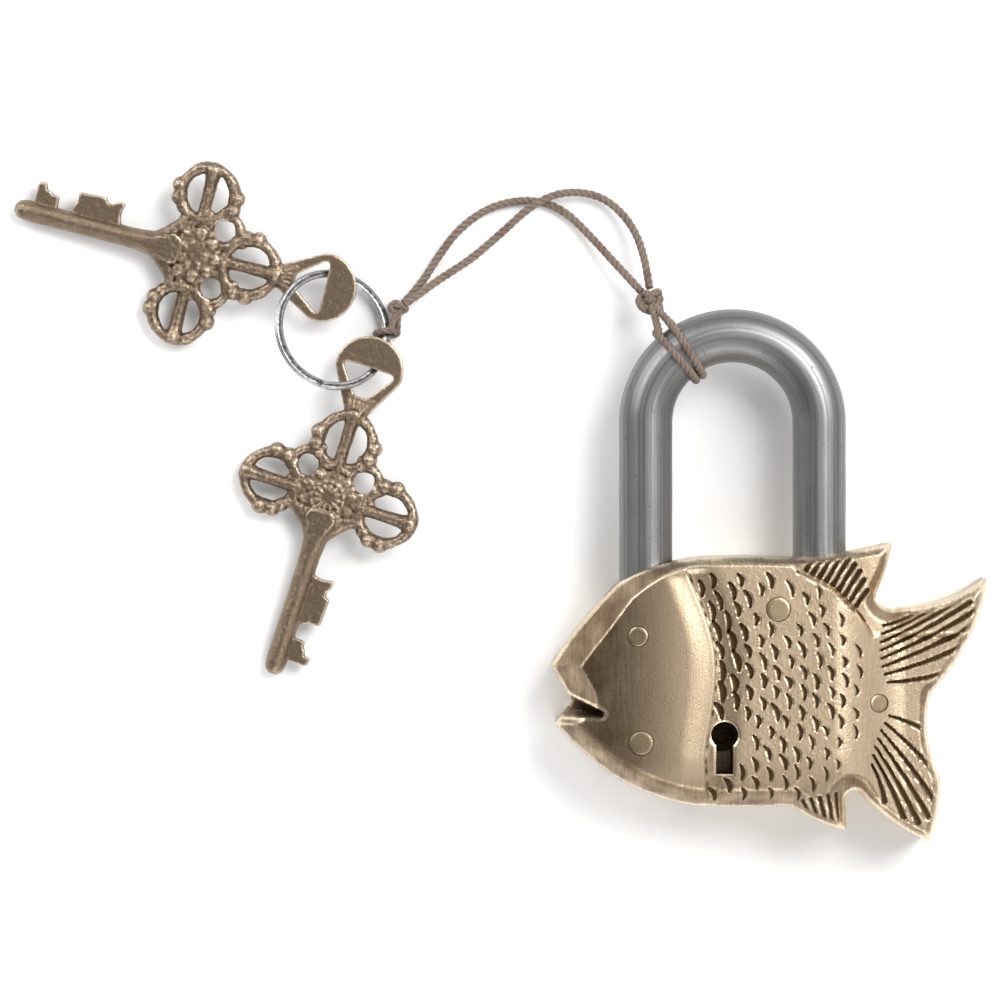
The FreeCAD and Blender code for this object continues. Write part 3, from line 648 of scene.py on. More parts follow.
INNER_BRASS = cast_metal(
    "inner_brass", (0.16, 0.115, 0.06, 1), (0.03, 0.018, 0.01, 1), (0.4, 0.32, 0.2, 1),
    (0.06, 0.04, 0.02, 1), 0.4, 0.5, (150.0, 2400.0, 150.0), 0.4, by_relief=False)
INNER_STEEL = cast_metal(
    "inner_steel", (0.36, 0.35, 0.34, 1), (0.04, 0.035, 0.03, 1), (0.6, 0.6, 0.6, 1),
    (0.14, 0.11, 0.09, 1), 0.3, 0.36, (150.0, 2400.0, 150.0), 0.4, by_relief=False)
# Its dark and bright colours paint shade on the split ring's flat faces and a highlight on its edges.
RING_STEEL = cast_metal(
    "ring_steel", (0.42, 0.42, 0.42, 1), (0.030, 0.028, 0.026, 1), (0.75, 0.75, 0.75, 1),
    (0.16, 0.14, 0.12, 1), 0.15, 0.22, (900.0, 900.0, 900.0), 0.25, 3000.0, 0.00002, 0.3)
SHACKLE_STEEL, WAXED_CORD, FLOOR = bar_steel(), waxed_cord(), plain_floor()


# ---- The cords, in their places --------------------------------------------------------------
def knot_ball(node):
    low, high = box_mm(node)
    return (low + high) / 2, (high[0] - low[0]) / 2


def wrap_path(node, diameter):
    """A turn of cord round the bar, its plane read from the part it stands for."""
    low, high = box_mm(node)
    places = corners(frame["nodes"][node].data) / MM
    middle = places.mean(axis=0) if node == "ring_loop" else (low + high) / 2
    _, _, ways = np.linalg.svd(places - places.mean(axis=0), full_matrices=False)
    axis = ways[2]
    out = np.linalg.norm(places - middle - np.outer((places - middle) @ axis, axis), axis=1)
    radius = out.max() - diameter / 2
    return middle, axis, radius


def circle_path(middle, axis, radius, count=160, start=0.0):
    side = np.cross(axis, (0, 0, 1) if abs(axis[2]) < 0.9 else (1, 0, 0))
    side /= np.linalg.norm(side)
    up = np.cross(axis, side)
    at = start + np.linspace(0, 2 * math.pi, count, endpoint=False)
    return middle + radius * (np.cos(at)[:, None] * side + np.sin(at)[:, None] * up)


WRAPS = ("shackle_wrap_a", "shackle_wrap_b")


def outer_side(node):
    """The top of a wrap's outer side, where its ends come together."""
    middle, axis, radius = wrap_path(node, CORD)
    out = np.cross(axis, (0, 0, 1))
    out /= np.linalg.norm(out)
    out = out if out[1] > 0 else -out
    turn = math.radians(35)
    return middle + radius * (math.cos(turn) * out + math.sin(turn) * np.array([0, 0, 1.0]))


def loop_sides():
    """Two places on the far side of the loop round the ring."""
    middle, axis, radius = wrap_path("ring_loop", LOOP_CORD)
    toward = knot_ball("ring_knot")[0] - middle
    toward -= axis * np.dot(toward, axis)
    toward /= np.linalg.norm(toward)
    aside = np.cross(axis, toward)
    places = [middle + radius * (0.8 * toward + sign * 0.6 * aside) for sign in (1, -1)]
    return [np.array([x, y, max(z, LOOP_CORD / 2 + 0.06)]) for x, y, z in places]


def hanging_run(start, end):
    """A short run of cord between two places, bowed a little upwards."""
    start, end = np.asarray(start), np.asarray(end)
    at = np.linspace(0, 1, 24)[:, None]
    lift = np.array([0, 0, 0.08 * np.linalg.norm(end - start)])
    return start + (end - start) * at + lift * 4 * at * (1 - at)


shackle_knot_at, shackle_knot_radius = knot_ball("shackle_knot")
ring_knot_at, ring_knot_radius = knot_ball("ring_knot")
shackle_knot = finished(
    cord_piece("shackle_knot_tied", [
        (knot_path(shackle_knot_at, shackle_knot_radius - CORD * 0.34, 0.5, 0.3), CORD, True),
        (knot_path(shackle_knot_at, shackle_knot_radius - CORD * 0.60, 1.6, 0.9), CORD, True),
        *[(hanging_run(shackle_knot_at, outer_side(node)), CORD, False) for node in WRAPS],
    ]), WAXED_CORD, "shackle", ["shackle_knot"])
ring_knot = finished(
    cord_piece("ring_knot_tied", [
        (knot_path(ring_knot_at, ring_knot_radius - LOOP_CORD * 0.1, 1.9, -0.4), LOOP_CORD, True),
        *[(hanging_run(ring_knot_at, place), LOOP_CORD, False) for place in loop_sides()],
    ]), WAXED_CORD, "shackle", ["ring_knot"])
wraps = []
for node in WRAPS:
    middle, axis, radius = wrap_path(node, CORD)
    wraps.append(finished(
        cord_piece(node + "_laid", [(circle_path(middle, axis, radius), CORD, True)]),
        WAXED_CORD, "shackle", [node]))
middle, axis, radius = wrap_path("ring_loop", LOOP_CORD)
loop_line = circle_path(middle, axis, radius)
loop_line[:, 2] = np.maximum(loop_line[:, 2], LOOP_CORD / 2 + 0.06)
ring_loop = finished(
    cord_piece("ring_loop_laid", [(loop_line, LOOP_CORD, True)]),
    WAXED_CORD, "shackle", ["ring_loop"])

for name, points, ends in (("cord_strand_a", STRAND_A, [ring_knot, ring_loop]),
                           ("cord_strand_b", STRAND_B, [shackle_knot, *wraps])):
    route = cord_route(name + "_route", points)
    strand = finished(
        cord_piece(name + "_laid", [(np.array(route) / MM, CORD, False)]),
        WAXED_CORD, "shackle", [name])


# ---- The fish: its outline and the shape of its face ----------------------------------------
FISH = [
    (-48.8, 5.6, -0.06), (-33.5, 24.3, -0.12), (-13.0, 30.2, -0.02), (6.0, 30.0, 0.04),
    (27.6, 33.2, -0.06), (23.7, 21.4, 0.45), (29.5, 18.5, 0.16), (49.0, 25.6, -0.16),
    (36.2, -0.6, 0.18), (38.4, -19.5, -0.1), (36.0, -34.0, -0.12), (20.0, -22.2, 0.5),
    (16.8, -24.0, 0.0), (17.2, -31.2, -0.1), (4.7, -25.8, -0.03), (-17.1, -25.7, -0.1),
    (-35.3, -18.9, -0.05), (-48.1, -7.4, 0.0), (-43.9, -2.7, 0.0),
]
GILL_Y = [-27.0, -16.9, -13.7, -8.6, -1.6, 3.6, 9.7, 14.4, 20.5, 24.1, 31.0]
GILL_X = [-14.2, -15.1, -15.3, -14.0, -13.1, -12.4, -12.8, -14.0, -16.4, -18.0, -21.0]
GILL_LEVELS = np.linspace(-27.0, 31.0, 117)
GILL_LINE = np.interp(GILL_LEVELS, GILL_Y, GILL_X)
for _ in range(60):
    GILL_LINE[1:-1] = 0.5 * GILL_LINE[1:-1] + 0.25 * (GILL_LINE[:-2] + GILL_LINE[2:])
PLATE_TOP = 3.0
FACE_TOP = 28.0
TAIL_TOP = 21.6
KEYHOLE, KEYHOLE_RADIUS, KEYHOLE_SLOT, KEYHOLE_REACH = (-10.2, -9.7), 3.0, 1.9, 8.7
RIVETS = [("brow_rivet", 2.25), ("cheek_rivet", 2.7), ("back_rivet", 2.7), ("tail_rivet", 2.0)]


def outline_points(table, step):
    """Points along lines and arcs; an arc's rise is its bulge times half its chord."""
    points = []
    for (x0, y0, bulge), (x1, y1, _) in zip(table, table[1:] + table[:1]):
        chord = np.array([x1 - x0, y1 - y0])
        length = np.hypot(*chord)
        along, aside = chord / length, np.array([chord[1], -chord[0]]) / length
        count = max(1, round(length / step))
        half = 2 * math.atan(abs(bulge))
        for i in range(count):
            if bulge:
                radius = length / 2 / math.sin(half)
                turn = (2 * i / count - 1) * half
                u = length / 2 + radius * math.sin(turn)
                v = radius * (math.cos(turn) - math.cos(half)) * math.copysign(1, bulge)
            else:
                u, v = length * i / count, 0.0
            points.append(np.array([x0, y0]) + along * u + aside * v)
    return np.array(points)


def softened(loop, rounds):
    for _ in range(rounds):
        loop = 0.5 * loop + 0.25 * (np.roll(loop, 1, axis=0) + np.roll(loop, -1, axis=0))
    return loop


def inward(loop):
    """Unit normals that point into a clockwise loop."""
    ahead = np.roll(loop, -1, axis=0) - np.roll(loop, 1, axis=0)
    ahead /= np.linalg.norm(ahead, axis=1)[:, None]
    return np.stack([ahead[:, 1], -ahead[:, 0]], axis=1)


def is_inside(points, loop):
    inside = np.zeros(len(points), dtype=bool)
    for (x0, y0), (x1, y1) in zip(loop, np.roll(loop, -1, axis=0)):
        if y0 == y1:
            continue
        crosses = (points[:, 1] < y0) != (points[:, 1] < y1)
        at = x0 + (points[:, 1] - y0) * (x1 - x0) / (y1 - y0)
        inside ^= crosses & (points[:, 0] < at)
    return inside


def edge_distance(points, loop):
    """How far each point is from the loop."""
    nearest = np.full(len(points), 1e9)
    for (x0, y0), (x1, y1) in zip(loop, np.roll(loop, -1, axis=0)):
        dx, dy = x1 - x0, y1 - y0
        t = np.clip(((points[:, 0] - x0) * dx + (points[:, 1] - y0) * dy) / (dx * dx + dy * dy), 0, 1)
        gap = (points[:, 0] - x0 - t * dx) ** 2 + (points[:, 1] - y0 - t * dy) ** 2
        np.minimum(nearest, gap, out=nearest)
    return np.sqrt(nearest)


def rise(value, low, high):
    t = np.clip((value - low) / (high - low), 0, 1)
    return t * t * (3 - 2 * t)


def curve_at(a, b, c, t):
    """A point of the bowed line from a to c that leans towards b."""
    return tuple((1 - t) ** 2 * p + 2 * t * (1 - t) * q + t * t * r for p, q, r in zip(a, b, c))


def keyhole_gap(x, y):
    """Distance from the keyhole's edge, outside it."""
    ring = np.hypot(x - KEYHOLE[0], y - KEYHOLE[1]) - KEYHOLE_RADIUS
    slot = np.maximum(np.abs(x - KEYHOLE[0]) - KEYHOLE_SLOT,
                      np.abs(y - KEYHOLE[1] + KEYHOLE_REACH / 2) - KEYHOLE_REACH / 2)
    return np.minimum(ring, slot)


def rivet_places():
    return [(*((box_mm(name)[0] + box_mm(name)[1]) / 2)[:2], radius) for name, radius in RIVETS]


RIVET_AT = rivet_places()
LOOP = softened(outline_points(FISH, 0.36), 3)


def chisel_marks():
    """Scale gouges and fin flutes: (start, end, bow, width at each end, depth, pointed)."""
    marks = []
    for column in range(14):
        shrink = 1 - 0.022 * column
        for row in range(-6, 7):
            y = row * 4.55 + (2.27 if column % 2 else 0.0) + chance.uniform(-0.35, 0.35)
            x = np.interp(y, GILL_LEVELS, GILL_LINE) * (1 - column / 22) + (
                1.9 + 2.50 * column) - 1.0 * column / 22
            x += chance.uniform(-0.4, 0.4)
            lean = chance.uniform(0.05, 0.42)
            long = (4.3 if column < 2 else 3.7) * shrink
            deep = (0.72 if column < 3 else 0.55) * shrink * (0.5 if y < -16 else 1.0)
            wide = (1.0 if column < 2 else 0.80) * shrink
            spot = np.array([[x, y]])
            fin = y - np.interp(x, [6.0, 14.0, 18.9, 22.0], [26.6, 22.5, 17.6, 13.0])
            clear = (
                is_inside(spot, LOOP)[0] and edge_distance(spot, LOOP)[0] > 2.4
                and fin < -1.2 and x < 21.5 - 0.02 * y * y
                and keyhole_gap(x, y) > 1.6
                and all(math.hypot(x - a, y - b) > r + 1.3 for a, b, r in RIVET_AT)
            )
            if clear:
                long *= chance.uniform(0.72, 1.12)
                wide *= chance.uniform(0.7, 1.05)
                marks.append(((x + lean * long / 2, y - long / 2), (x - lean * long / 2, y + long / 2),
                              0.5, wide, wide, deep * chance.uniform(0.7, 1.1), True))
    fans = [
        # (count, the line the flutes start on, the line they end on, bow, widths, depth)
        (9, ((7.6, 27.4), (14.6, 24.6), (19.9, 18.8)), ((8.6, 28.9), (20.0, 33.6), (21.9, 21.6)),
         0.0, 0.56, 0.60, 0.7),
        (8, ((25.6, 15.4), (23.6, 8.0), (26.6, 1.4)), ((31.0, 17.0), (56.0, 28.5), (38.6, 2.0)),
         0.5, 0.26, 0.78, 0.6),
        (7, ((27.2, -5.0), (23.4, -10.0), (22.6, -17.0)), ((35.6, -6.0), (41.5, -42.0), (24.0, -23.0)),
         -0.4, 0.26, 0.74, 0.6),
        (5, ((6.6, -24.4), (11.0, -23.6), (15.4, -22.6)), ((8.4, -27.2), (13.0, -30.4), (16.2, -30.4)),
         0.0, 0.45, 0.55, 0.55),
    ]
    for count, starts, ends, bow, near, far, depth in fans:
        for i in range(count):
            t = (i + 0.35) / (count - 0.3)
            marks.append((curve_at(*starts, t), curve_at(*ends, t), bow, near, far, depth, False))
    for a, b in (((6.0, 26.8), (14.0, 22.7)), ((14.0, 22.7), (18.9, 17.6))):
        marks.append((a, b, 0.0, 0.42, 0.42, 0.45, False))
    return marks


MARKS = chisel_marks()


def face_surface(x, y, depth_in):
    """Height of the casting's front, how sunk it is in marks, and how brown it is painted: painted shade
    on the left of the head, browner towards the belly, and unpolished skin with painted shade on the
    sloping edge bands.
    """
    level = FACE_TOP - 4.8 * np.clip((-18.0 - x) / 27.0, 0, 1) ** 2
    level -= (FACE_TOP - TAIL_TOP) * rise(x, 14.0, 31.0)
    fin_line = np.interp(x, [2.0, 6.0, 14.0, 18.9, 23.0], [31.0, 26.8, 22.7, 17.6, 12.0])
    in_fin = rise(y - fin_line, -0.4, 1.4) * rise(x, 4.0, 9.0)
    level = level * (1 - in_fin) + (TAIL_TOP + 2.3 - 0.5 * rise(x, 20.0, 28.0)) * in_fin
    belly = rise(-y, 14.0, 27.0) * (1 - rise(x, 14.0, 22.0))
    level -= 1.5 * belly
    above = y > np.interp(x, [-48, -36, 50], [-3.5, -5.0, 0.0])
    width = np.where(above, 5.6 - 3.2 * rise(x, -38.0, -20.0), 4.6)
    width = width - (width - 2.2) * rise(x, 10.0, 24.0)
    drop_by = np.where(above, 5.4, 6.6)
    drop_by = drop_by - (drop_by - 2.6) * rise(x, 8.0, 22.0)
    for notch_x, notch_y, wider, reach in ((26.0, 19.0, 3.4, 4.5), (18.6, -23.0, 3.0, 4.0),
                                          (37.0, -1.0, 1.2, 3.0)):
        width = width + wider * np.exp(-((x - notch_x) ** 2 + (y - notch_y) ** 2) / reach ** 2)
    share = np.clip(depth_in / width, 0, 1)
    flat = (1 - rise(x, -30.0, -14.0)) * above
    slope = (1 - share) * flat + (1 - share) ** 2 * (1 - flat)
    z = level - drop_by * slope
    # The gill: the head plate stands a little over the scales.
    beyond = x - np.interp(y, GILL_LEVELS, GILL_LINE)
    gill = rise(beyond, 0.0, 0.7) * (1 - rise(beyond, 1.2, 7.0))
    z -= (0.45 * gill + 0.7 * rise(beyond, -5.5, 0.3) * (1 - rise(beyond, 0.5, 9.0))) * rise(
        depth_in, 1.0, 4.0)
    ragged = 0.5 + 0.5 * np.sin(y * 1.7) * np.sin(y * 0.63 + 1.1)
    sunk = 0.7 * ragged * np.exp(-((beyond - 0.7) / 0.4) ** 2) * rise(depth_in, 1.5, 3.5)
    # The mouth: a tapering groove between the lips.
    lip = ((-46.0, -3.2), (-37.6, -5.1), 0.0, 2.6, 0.7, 7.0, False)
    keep = rise(depth_in, 0.9, 2.0)
    for mark in [lip] + MARKS:
        (x0, y0), (x1, y1), bow, near, far, deep, pointed = mark
        reach = abs(bow) + max(near, far) * 1.6
        close = ((x > min(x0, x1) - reach) & (x < max(x0, x1) + reach)
                 & (y > min(y0, y1) - reach) & (y < max(y0, y1) + reach))
        if not close.any():
            continue
        px, py = x[close], y[close]
        dx, dy = x1 - x0, y1 - y0
        length = math.hypot(dx, dy)
        along = ((px - x0) * dx + (py - y0) * dy) / length ** 2
        within = np.clip(along, 0, 1)
        aside = ((px - x0) * dy - (py - y0) * dx) / length - bow * 4 * within * (1 - within)
        wide = near + (far - near) * within
        if pointed:
            wide = wide * np.sqrt(np.maximum(1 - 0.8 * (2 * within - 1) ** 2, 0.1))
        out = np.hypot((along - within) * length, aside) / wide
        press = np.clip(1 - out ** 2, 0, 1) ** (0.8 if pointed else 0.6)
        rim = np.exp(-((out - 1.22) / 0.2) ** 2)
        share = keep[close] if mark is not lip else 1.0
        z[close] += (-deep * press + 0.03 * rim) * share
        sunk[close] = np.maximum(sunk[close], press * share * (0.4 if mark is lip else 1.0))
    gap = keyhole_gap(x, y)
    z -= 0.28 * np.clip(1 - gap / 0.5, 0, 1) ** 1.5
    on_face = rise(depth_in, width - 0.5, width + 0.3)
    # Painted shade: the left of the head dome is browned, darkest at the far left, where it turns away
    # from the light.
    shade = 1.3 * (beyond < 0.5) * (1 - rise(x, -44.0, -12.0)) * on_face
    # Browner towards the belly.
    shade = np.maximum(shade, 0.9 * rise(-y, 14.0, 26.0) * (x < 16))
    # The sloping edge bands are browned: unpolished cast skin, and painted shade as well.
    shade = np.maximum(shade, 1 - on_face)
    sunk = sunk * (1 - 0.3 * rise(x, -4.0, 12.0))
    return z, sunk, shade


def surface_near(x, y):
    places = np.stack([x, y], axis=1)
    return face_surface(x, y, edge_distance(places, LOOP))


def flat_fill(loop):
    """Triangles that fill a loop, all turned up. A loop that crosses itself is refused."""
    count = len(loop)
    ring = [(i, (i + 1) % count) for i in range(count)]
    _, _, faces, _, _, _ = geometry.delaunay_2d_cdt(
        [Vector(p) for p in loop.tolist()], ring, [], 1, 1e-7)
    if len(faces) != count - 2:
        raise ValueError(f"a loop of {count} points was filled with {len(faces)} triangles")
    filled = []
    for face in faces:
        (ax, ay), (bx, by), (cx, cy) = loop[list(face)]
        up = (bx - ax) * (cy - ay) - (by - ay) * (cx - ax) > 0
        filled.append(list(face) if up else list(face)[::-1])
    return filled


def faces_out(thing):
    """Turn every face of a closed piece outward."""
    shape = bmesh.new()
    shape.from_mesh(thing.data)
    bmesh.ops.recalc_face_normals(shape, faces=shape.faces)
    shape.to_mesh(thing.data)
    shape.free()


def fish_body():
    """The casting as one closed skin: face, walls and the flat that meets the back plate."""
    step = 0.33
    xs = np.arange(-50, 51, step)
    ys = np.arange(-36, 35, step * 0.866)
    grid = np.array([(x + (step / 2 if i % 2 else 0), y) for i, y in enumerate(ys) for x in xs])
    grid = grid[is_inside(grid, LOOP)]
    away = edge_distance(grid, LOOP)
    grid, away = grid[away > 0.24], away[away > 0.24]
    flat = np.vstack([LOOP, grid])
    edge_count = len(LOOP)
    ring = [(i, (i + 1) % edge_count) for i in range(edge_count)]
    points, _, faces, _, _, _ = geometry.delaunay_2d_cdt(
        [Vector(p) for p in flat.tolist()], ring, [], 1, 1e-5)
    top = np.array([(p.x, p.y) for p in points])
    depth_in = edge_distance(top, LOOP)
    z, _, _ = face_surface(top[:, 0], top[:, 1], depth_in)
    on_head = top[:, 0] < np.interp(top[:, 1], GILL_LEVELS, GILL_LINE)
    grit = chance.normal(0, 0.012, len(top)) * np.where(on_head, 0.2, 1.0)
    shell = np.column_stack([top, z + grit * rise(depth_in, 0.2, 0.8)])
    faces = [list(face) for face in faces]
    centres = np.array([top[face].mean(axis=0) for face in faces])
    faces = [face for face, held in zip(faces, is_inside(centres, LOOP)) if held]
    for face in faces:
        (ax, ay), (bx, by), (cx, cy) = top[face[0]], top[face[1]], top[face[2]]
        if (bx - ax) * (cy - ay) - (by - ay) * (cx - ax) < 0:
            face.reverse()
    walls = inward(LOOP)
    count = len(shell)
    rows = []
    for level, inset in ((0.80, 0.0), (0.45, 0.0), (0.05, 0.0), (0.02, 0.0), (0.0, 0.0)):
        heights = PLATE_TOP + (z[:edge_count] - PLATE_TOP) * level
        rows.append(np.column_stack([LOOP + walls * inset, heights]))
    above = list(range(edge_count))
    for i in range(len(rows)):
        below = [count + i * edge_count + j for j in range(edge_count)]
        faces += [(above[j], above[(j + 1) % edge_count], below[(j + 1) % edge_count], below[j])
                  for j in range(edge_count)]
        above = below
    faces += [[above[k] for k in reversed(face)] for face in flat_fill(rows[-1][:, :2])]
    thing = piece_from("fish_casting", np.vstack([shell] + rows), faces)
    faces_out(thing)
    return thing


CHAMBER = ((-21.0, -20.5, 2.0), (-2.2, 26.3, 25.0))
HEEL_X, TOE_X, BAR_LEVEL, BAR_RADIUS = 11.5, -27.5, 14.0, 6.0
LIFT = 16


def keyhole_shapes(low, high):
    return [
        rod_shape((*KEYHOLE, low), (*KEYHOLE, high), KEYHOLE_RADIUS),
        block_shape((KEYHOLE[0] - KEYHOLE_SLOT, KEYHOLE[1] - KEYHOLE_REACH, low),
                    (KEYHOLE[0] + KEYHOLE_SLOT, KEYHOLE[1], high)),
    ]


fish = fish_body()
pin_low, pin_high = box_mm("heel_stop_pin")
pin_at = (pin_low + pin_high) / 2
cutters = [
    block_shape(*CHAMBER),
    rod_shape((HEEL_X, -16.3, BAR_LEVEL), (HEEL_X, 60, BAR_LEVEL), BAR_RADIUS + 0.16, 96),
    rod_shape((TOE_X, 15.0, BAR_LEVEL), (TOE_X, 60, BAR_LEVEL), BAR_RADIUS + 0.6, 96),
    rod_shape((TOE_X + 1.5, 15.0, BAR_LEVEL), (TOE_X + 1.5, 60, BAR_LEVEL), BAR_RADIUS + 0.6, 96),
    rod_shape((pin_at[0], pin_at[1], 0), (pin_at[0], pin_at[1], pin_high[2] + 0.05),
              (pin_high[0] - pin_low[0]) / 2 + 0.05),
    *keyhole_shapes(20.0, 32.0),
    *[rod_shape((x, y, 0), (x, y, 32), radius + 0.10) for x, y, radius in RIVET_AT],
]
carve(fish, cutters)
fish_at = corners(fish.data)
height, sunk, shade = surface_near(fish_at[:, 0], fish_at[:, 1])
on_face = np.abs(fish_at[:, 2] - height) < 0.25
mark_relief(fish, 6, 1.5)
relief = np.empty(len(fish_at))
fish.data.attributes["relief"].data.foreach_get("value", relief)
for x, y, radius in RIVET_AT:
    by_rivet = np.hypot(fish_at[:, 0] - x, fish_at[:, 1] - y) < radius + 0.7
    relief[by_rivet] = np.minimum(relief[by_rivet], 0.47)
store(fish.data, "relief", relief)
(low_x, low_y, _), (high_x, high_y, _) = CHAMBER
fish_x, fish_y = fish_at[:, 0], fish_at[:, 1]
inside = (fish_x > low_x - 0.1) & (fish_x < high_x + 0.1) & (fish_y > low_y - 0.1) & (
    fish_y < high_y + 0.1)
inside = ~on_face & (inside | (keyhole_gap(fish_x, fish_y) < 0.1))
# Inside the chamber and the keyhole the brass is painted near-black: dark tarnish and painted shade,
# standing for the shade inside the keyhole. The side walls are browned as unpolished cast skin and as
# painted shade.
store(fish.data, "sunk", np.where(inside, 1.0, np.where(on_face, sunk, 0.0)))
store(fish.data, "shade", np.where(inside, 1.0, np.where(on_face, shade, 0.8)))
smooth_faces(fish, 42)
finished(fish, BRASS, "lock_case", ["front_casting"])


def back_cover():
    """The back plate, with its arrises taken off."""
    loop = softened(outline_points(FISH, 0.6), 2)
    ways = inward(loop)
    rows = [np.column_stack([loop + ways * inset, np.full(len(loop), z)])
            for z, inset in ((0.0, 0.16), (0.14, 0.06), (0.5, 0.0), (2.8, 0.0), (2.98, 0.10))]
    count = len(loop)
    faces = [list(reversed(face)) for face in flat_fill(rows[0][:, :2])]
    faces += [[4 * count + k for k in face] for face in flat_fill(rows[4][:, :2])]
    for i in range(4):
        a, b = i * count, (i + 1) * count
        faces += [(a + j, b + j, b + (j + 1) % count, a + (j + 1) % count) for j in range(count)]
    thing = piece_from("back_cover", np.vstack(rows), faces)
    faces_out(thing)
    bush_low, bush_high = box_mm("key_bush")
    return carve(thing, [
        *[rod_shape((x, y, -1), (x, y, 4), radius + 0.06, 48) for x, y, radius in RIVET_AT],
        rod_shape((pin_at[0], pin_at[1], -1), (pin_at[0], pin_at[1], 4),
                  (pin_high[0] - pin_low[0]) / 2 + 0.04, 48),
        rod_shape((*KEYHOLE, -1), (*KEYHOLE, 4), (bush_high[0] - bush_low[0]) / 2 + 0.05, 64),
    ])


cover = back_cover()
mark_relief(cover, 3, 1.0)
# The back plate's inner face, seen through the keyhole, is painted near-black: dark tarnish and painted
# shade.
cover_inside = corners(cover.data)[:, 2] > 2.9
store(cover.data, "sunk", np.where(cover_inside, 1.0, 0.0))
store(cover.data, "shade", np.where(cover_inside, 1.0, 0.4))
smooth_faces(cover, 35)
finished(cover, BRASS, "lock_case", ["back_plate"])


# ---- The rivets, set by one geometry tree ---------------------------------------------------
def geometry_tree(name, inputs):
    tree = bpy.data.node_groups.new(name, "GeometryNodeTree")
    tree.interface.new_socket("Geometry", in_out="INPUT", socket_type="NodeSocketGeometry")
    for label, kind, value in inputs:
        socket = tree.interface.new_socket(label, in_out="INPUT", socket_type=kind)
        if value is not None:
            socket.default_value = value
    tree.interface.new_socket("Geometry", in_out="OUTPUT", socket_type="NodeSocketGeometry")
    made = Tree(tree)
    return tree, made, made.node("NodeGroupInput"), made.node("NodeGroupOutput")


def grow(thing, tree, values):
    """Run a geometry tree on a piece with these inputs, and keep its result as the mesh."""
    modifier = thing.modifiers.new("grow", "NODES")
    modifier.node_group = tree
    named = {item.name: item.identifier for item in tree.interface.items_tree
             if item.item_type == "SOCKET" and item.in_out == "INPUT"}
    for label, value in values.items():
        modifier[named[label]] = value
    return settle(thing)


def rivet_tree():
    """A round shank on every point, as wide and as tall as the point says."""
    tree, made, given, out = geometry_tree("rivet_set", [
        ("Sides", "NodeSocketInt", 48),
        ("Finish", "NodeSocketMaterial", None),
    ])
    profile = made.node("GeometryNodeMeshCylinder", {
        "Vertices": given.outputs["Sides"], "Side Segments": 6, "Fill Segments": 6,
        "Radius": 1.0, "Depth": 1.0,
    }, fill_type="TRIANGLE_FAN")
    girth = made.node("GeometryNodeInputNamedAttribute", {"Name": "girth"}, data_type="FLOAT")
    tall = made.node("GeometryNodeInputNamedAttribute", {"Name": "tall"}, data_type="FLOAT")
    scale = made.node("ShaderNodeCombineXYZ", {
        0: girth.outputs[0], 1: girth.outputs[0], 2: tall.outputs[0],
    })
    set_on = made.node("GeometryNodeInstanceOnPoints", {
        "Points": given.outputs["Geometry"], "Instance": profile.outputs["Mesh"],
        "Scale": scale.outputs[0],
    })
    real = made.node("GeometryNodeRealizeInstances", {"Geometry": set_on.outputs[0]})
    smooth = made.node("GeometryNodeSetMaterial", {
        "Geometry": real.outputs[0], "Material": given.outputs["Finish"],
    })
    made.set(out.inputs["Geometry"], smooth.outputs[0])
    return tree


spots = np.array([(x, y) for x, y, _ in RIVET_AT])
tops, _, _ = surface_near(spots[:, 0], spots[:, 1])
rivets = piece_from("dressed_rivets", np.column_stack([spots, tops / 2]), [])
store(rivets.data, "girth", [radius - 0.03 for _, _, radius in RIVET_AT])
store(rivets.data, "tall", tops - 0.02)
grow(rivets, rivet_tree(), {"Sides": 48, "Finish": RIVET_BRASS})
rivet_at = corners(rivets.data)
height, _, _ = surface_near(rivet_at[:, 0], rivet_at[:, 1])
nearest = np.argmin(np.hypot(rivet_at[:, 0:1] - spots[:, 0], rivet_at[:, 1:2] - spots[:, 1]), axis=1)
rim_out = np.hypot(*(rivet_at[:, :2] - spots[nearest]).T) / np.array([r for _, _, r in RIVET_AT])[nearest]
is_top = rivet_at[:, 2] > tops[nearest] - 0.3
rivet_at[is_top, 2] = (height + 0.02 - 0.16 * rise(rim_out, 0.86, 1.0))[is_top]
set_corners(rivets.data, rivet_at)
store(rivets.data, "relief", 0.56 - 0.3 * rise(rim_out, 0.8, 1.0))
store(rivets.data, "shade", np.full(len(rivet_at), 0.15))
smooth_faces(rivets, 50)
finished(rivets, RIVET_BRASS, "lock_case", [name for name, _ in RIVETS])


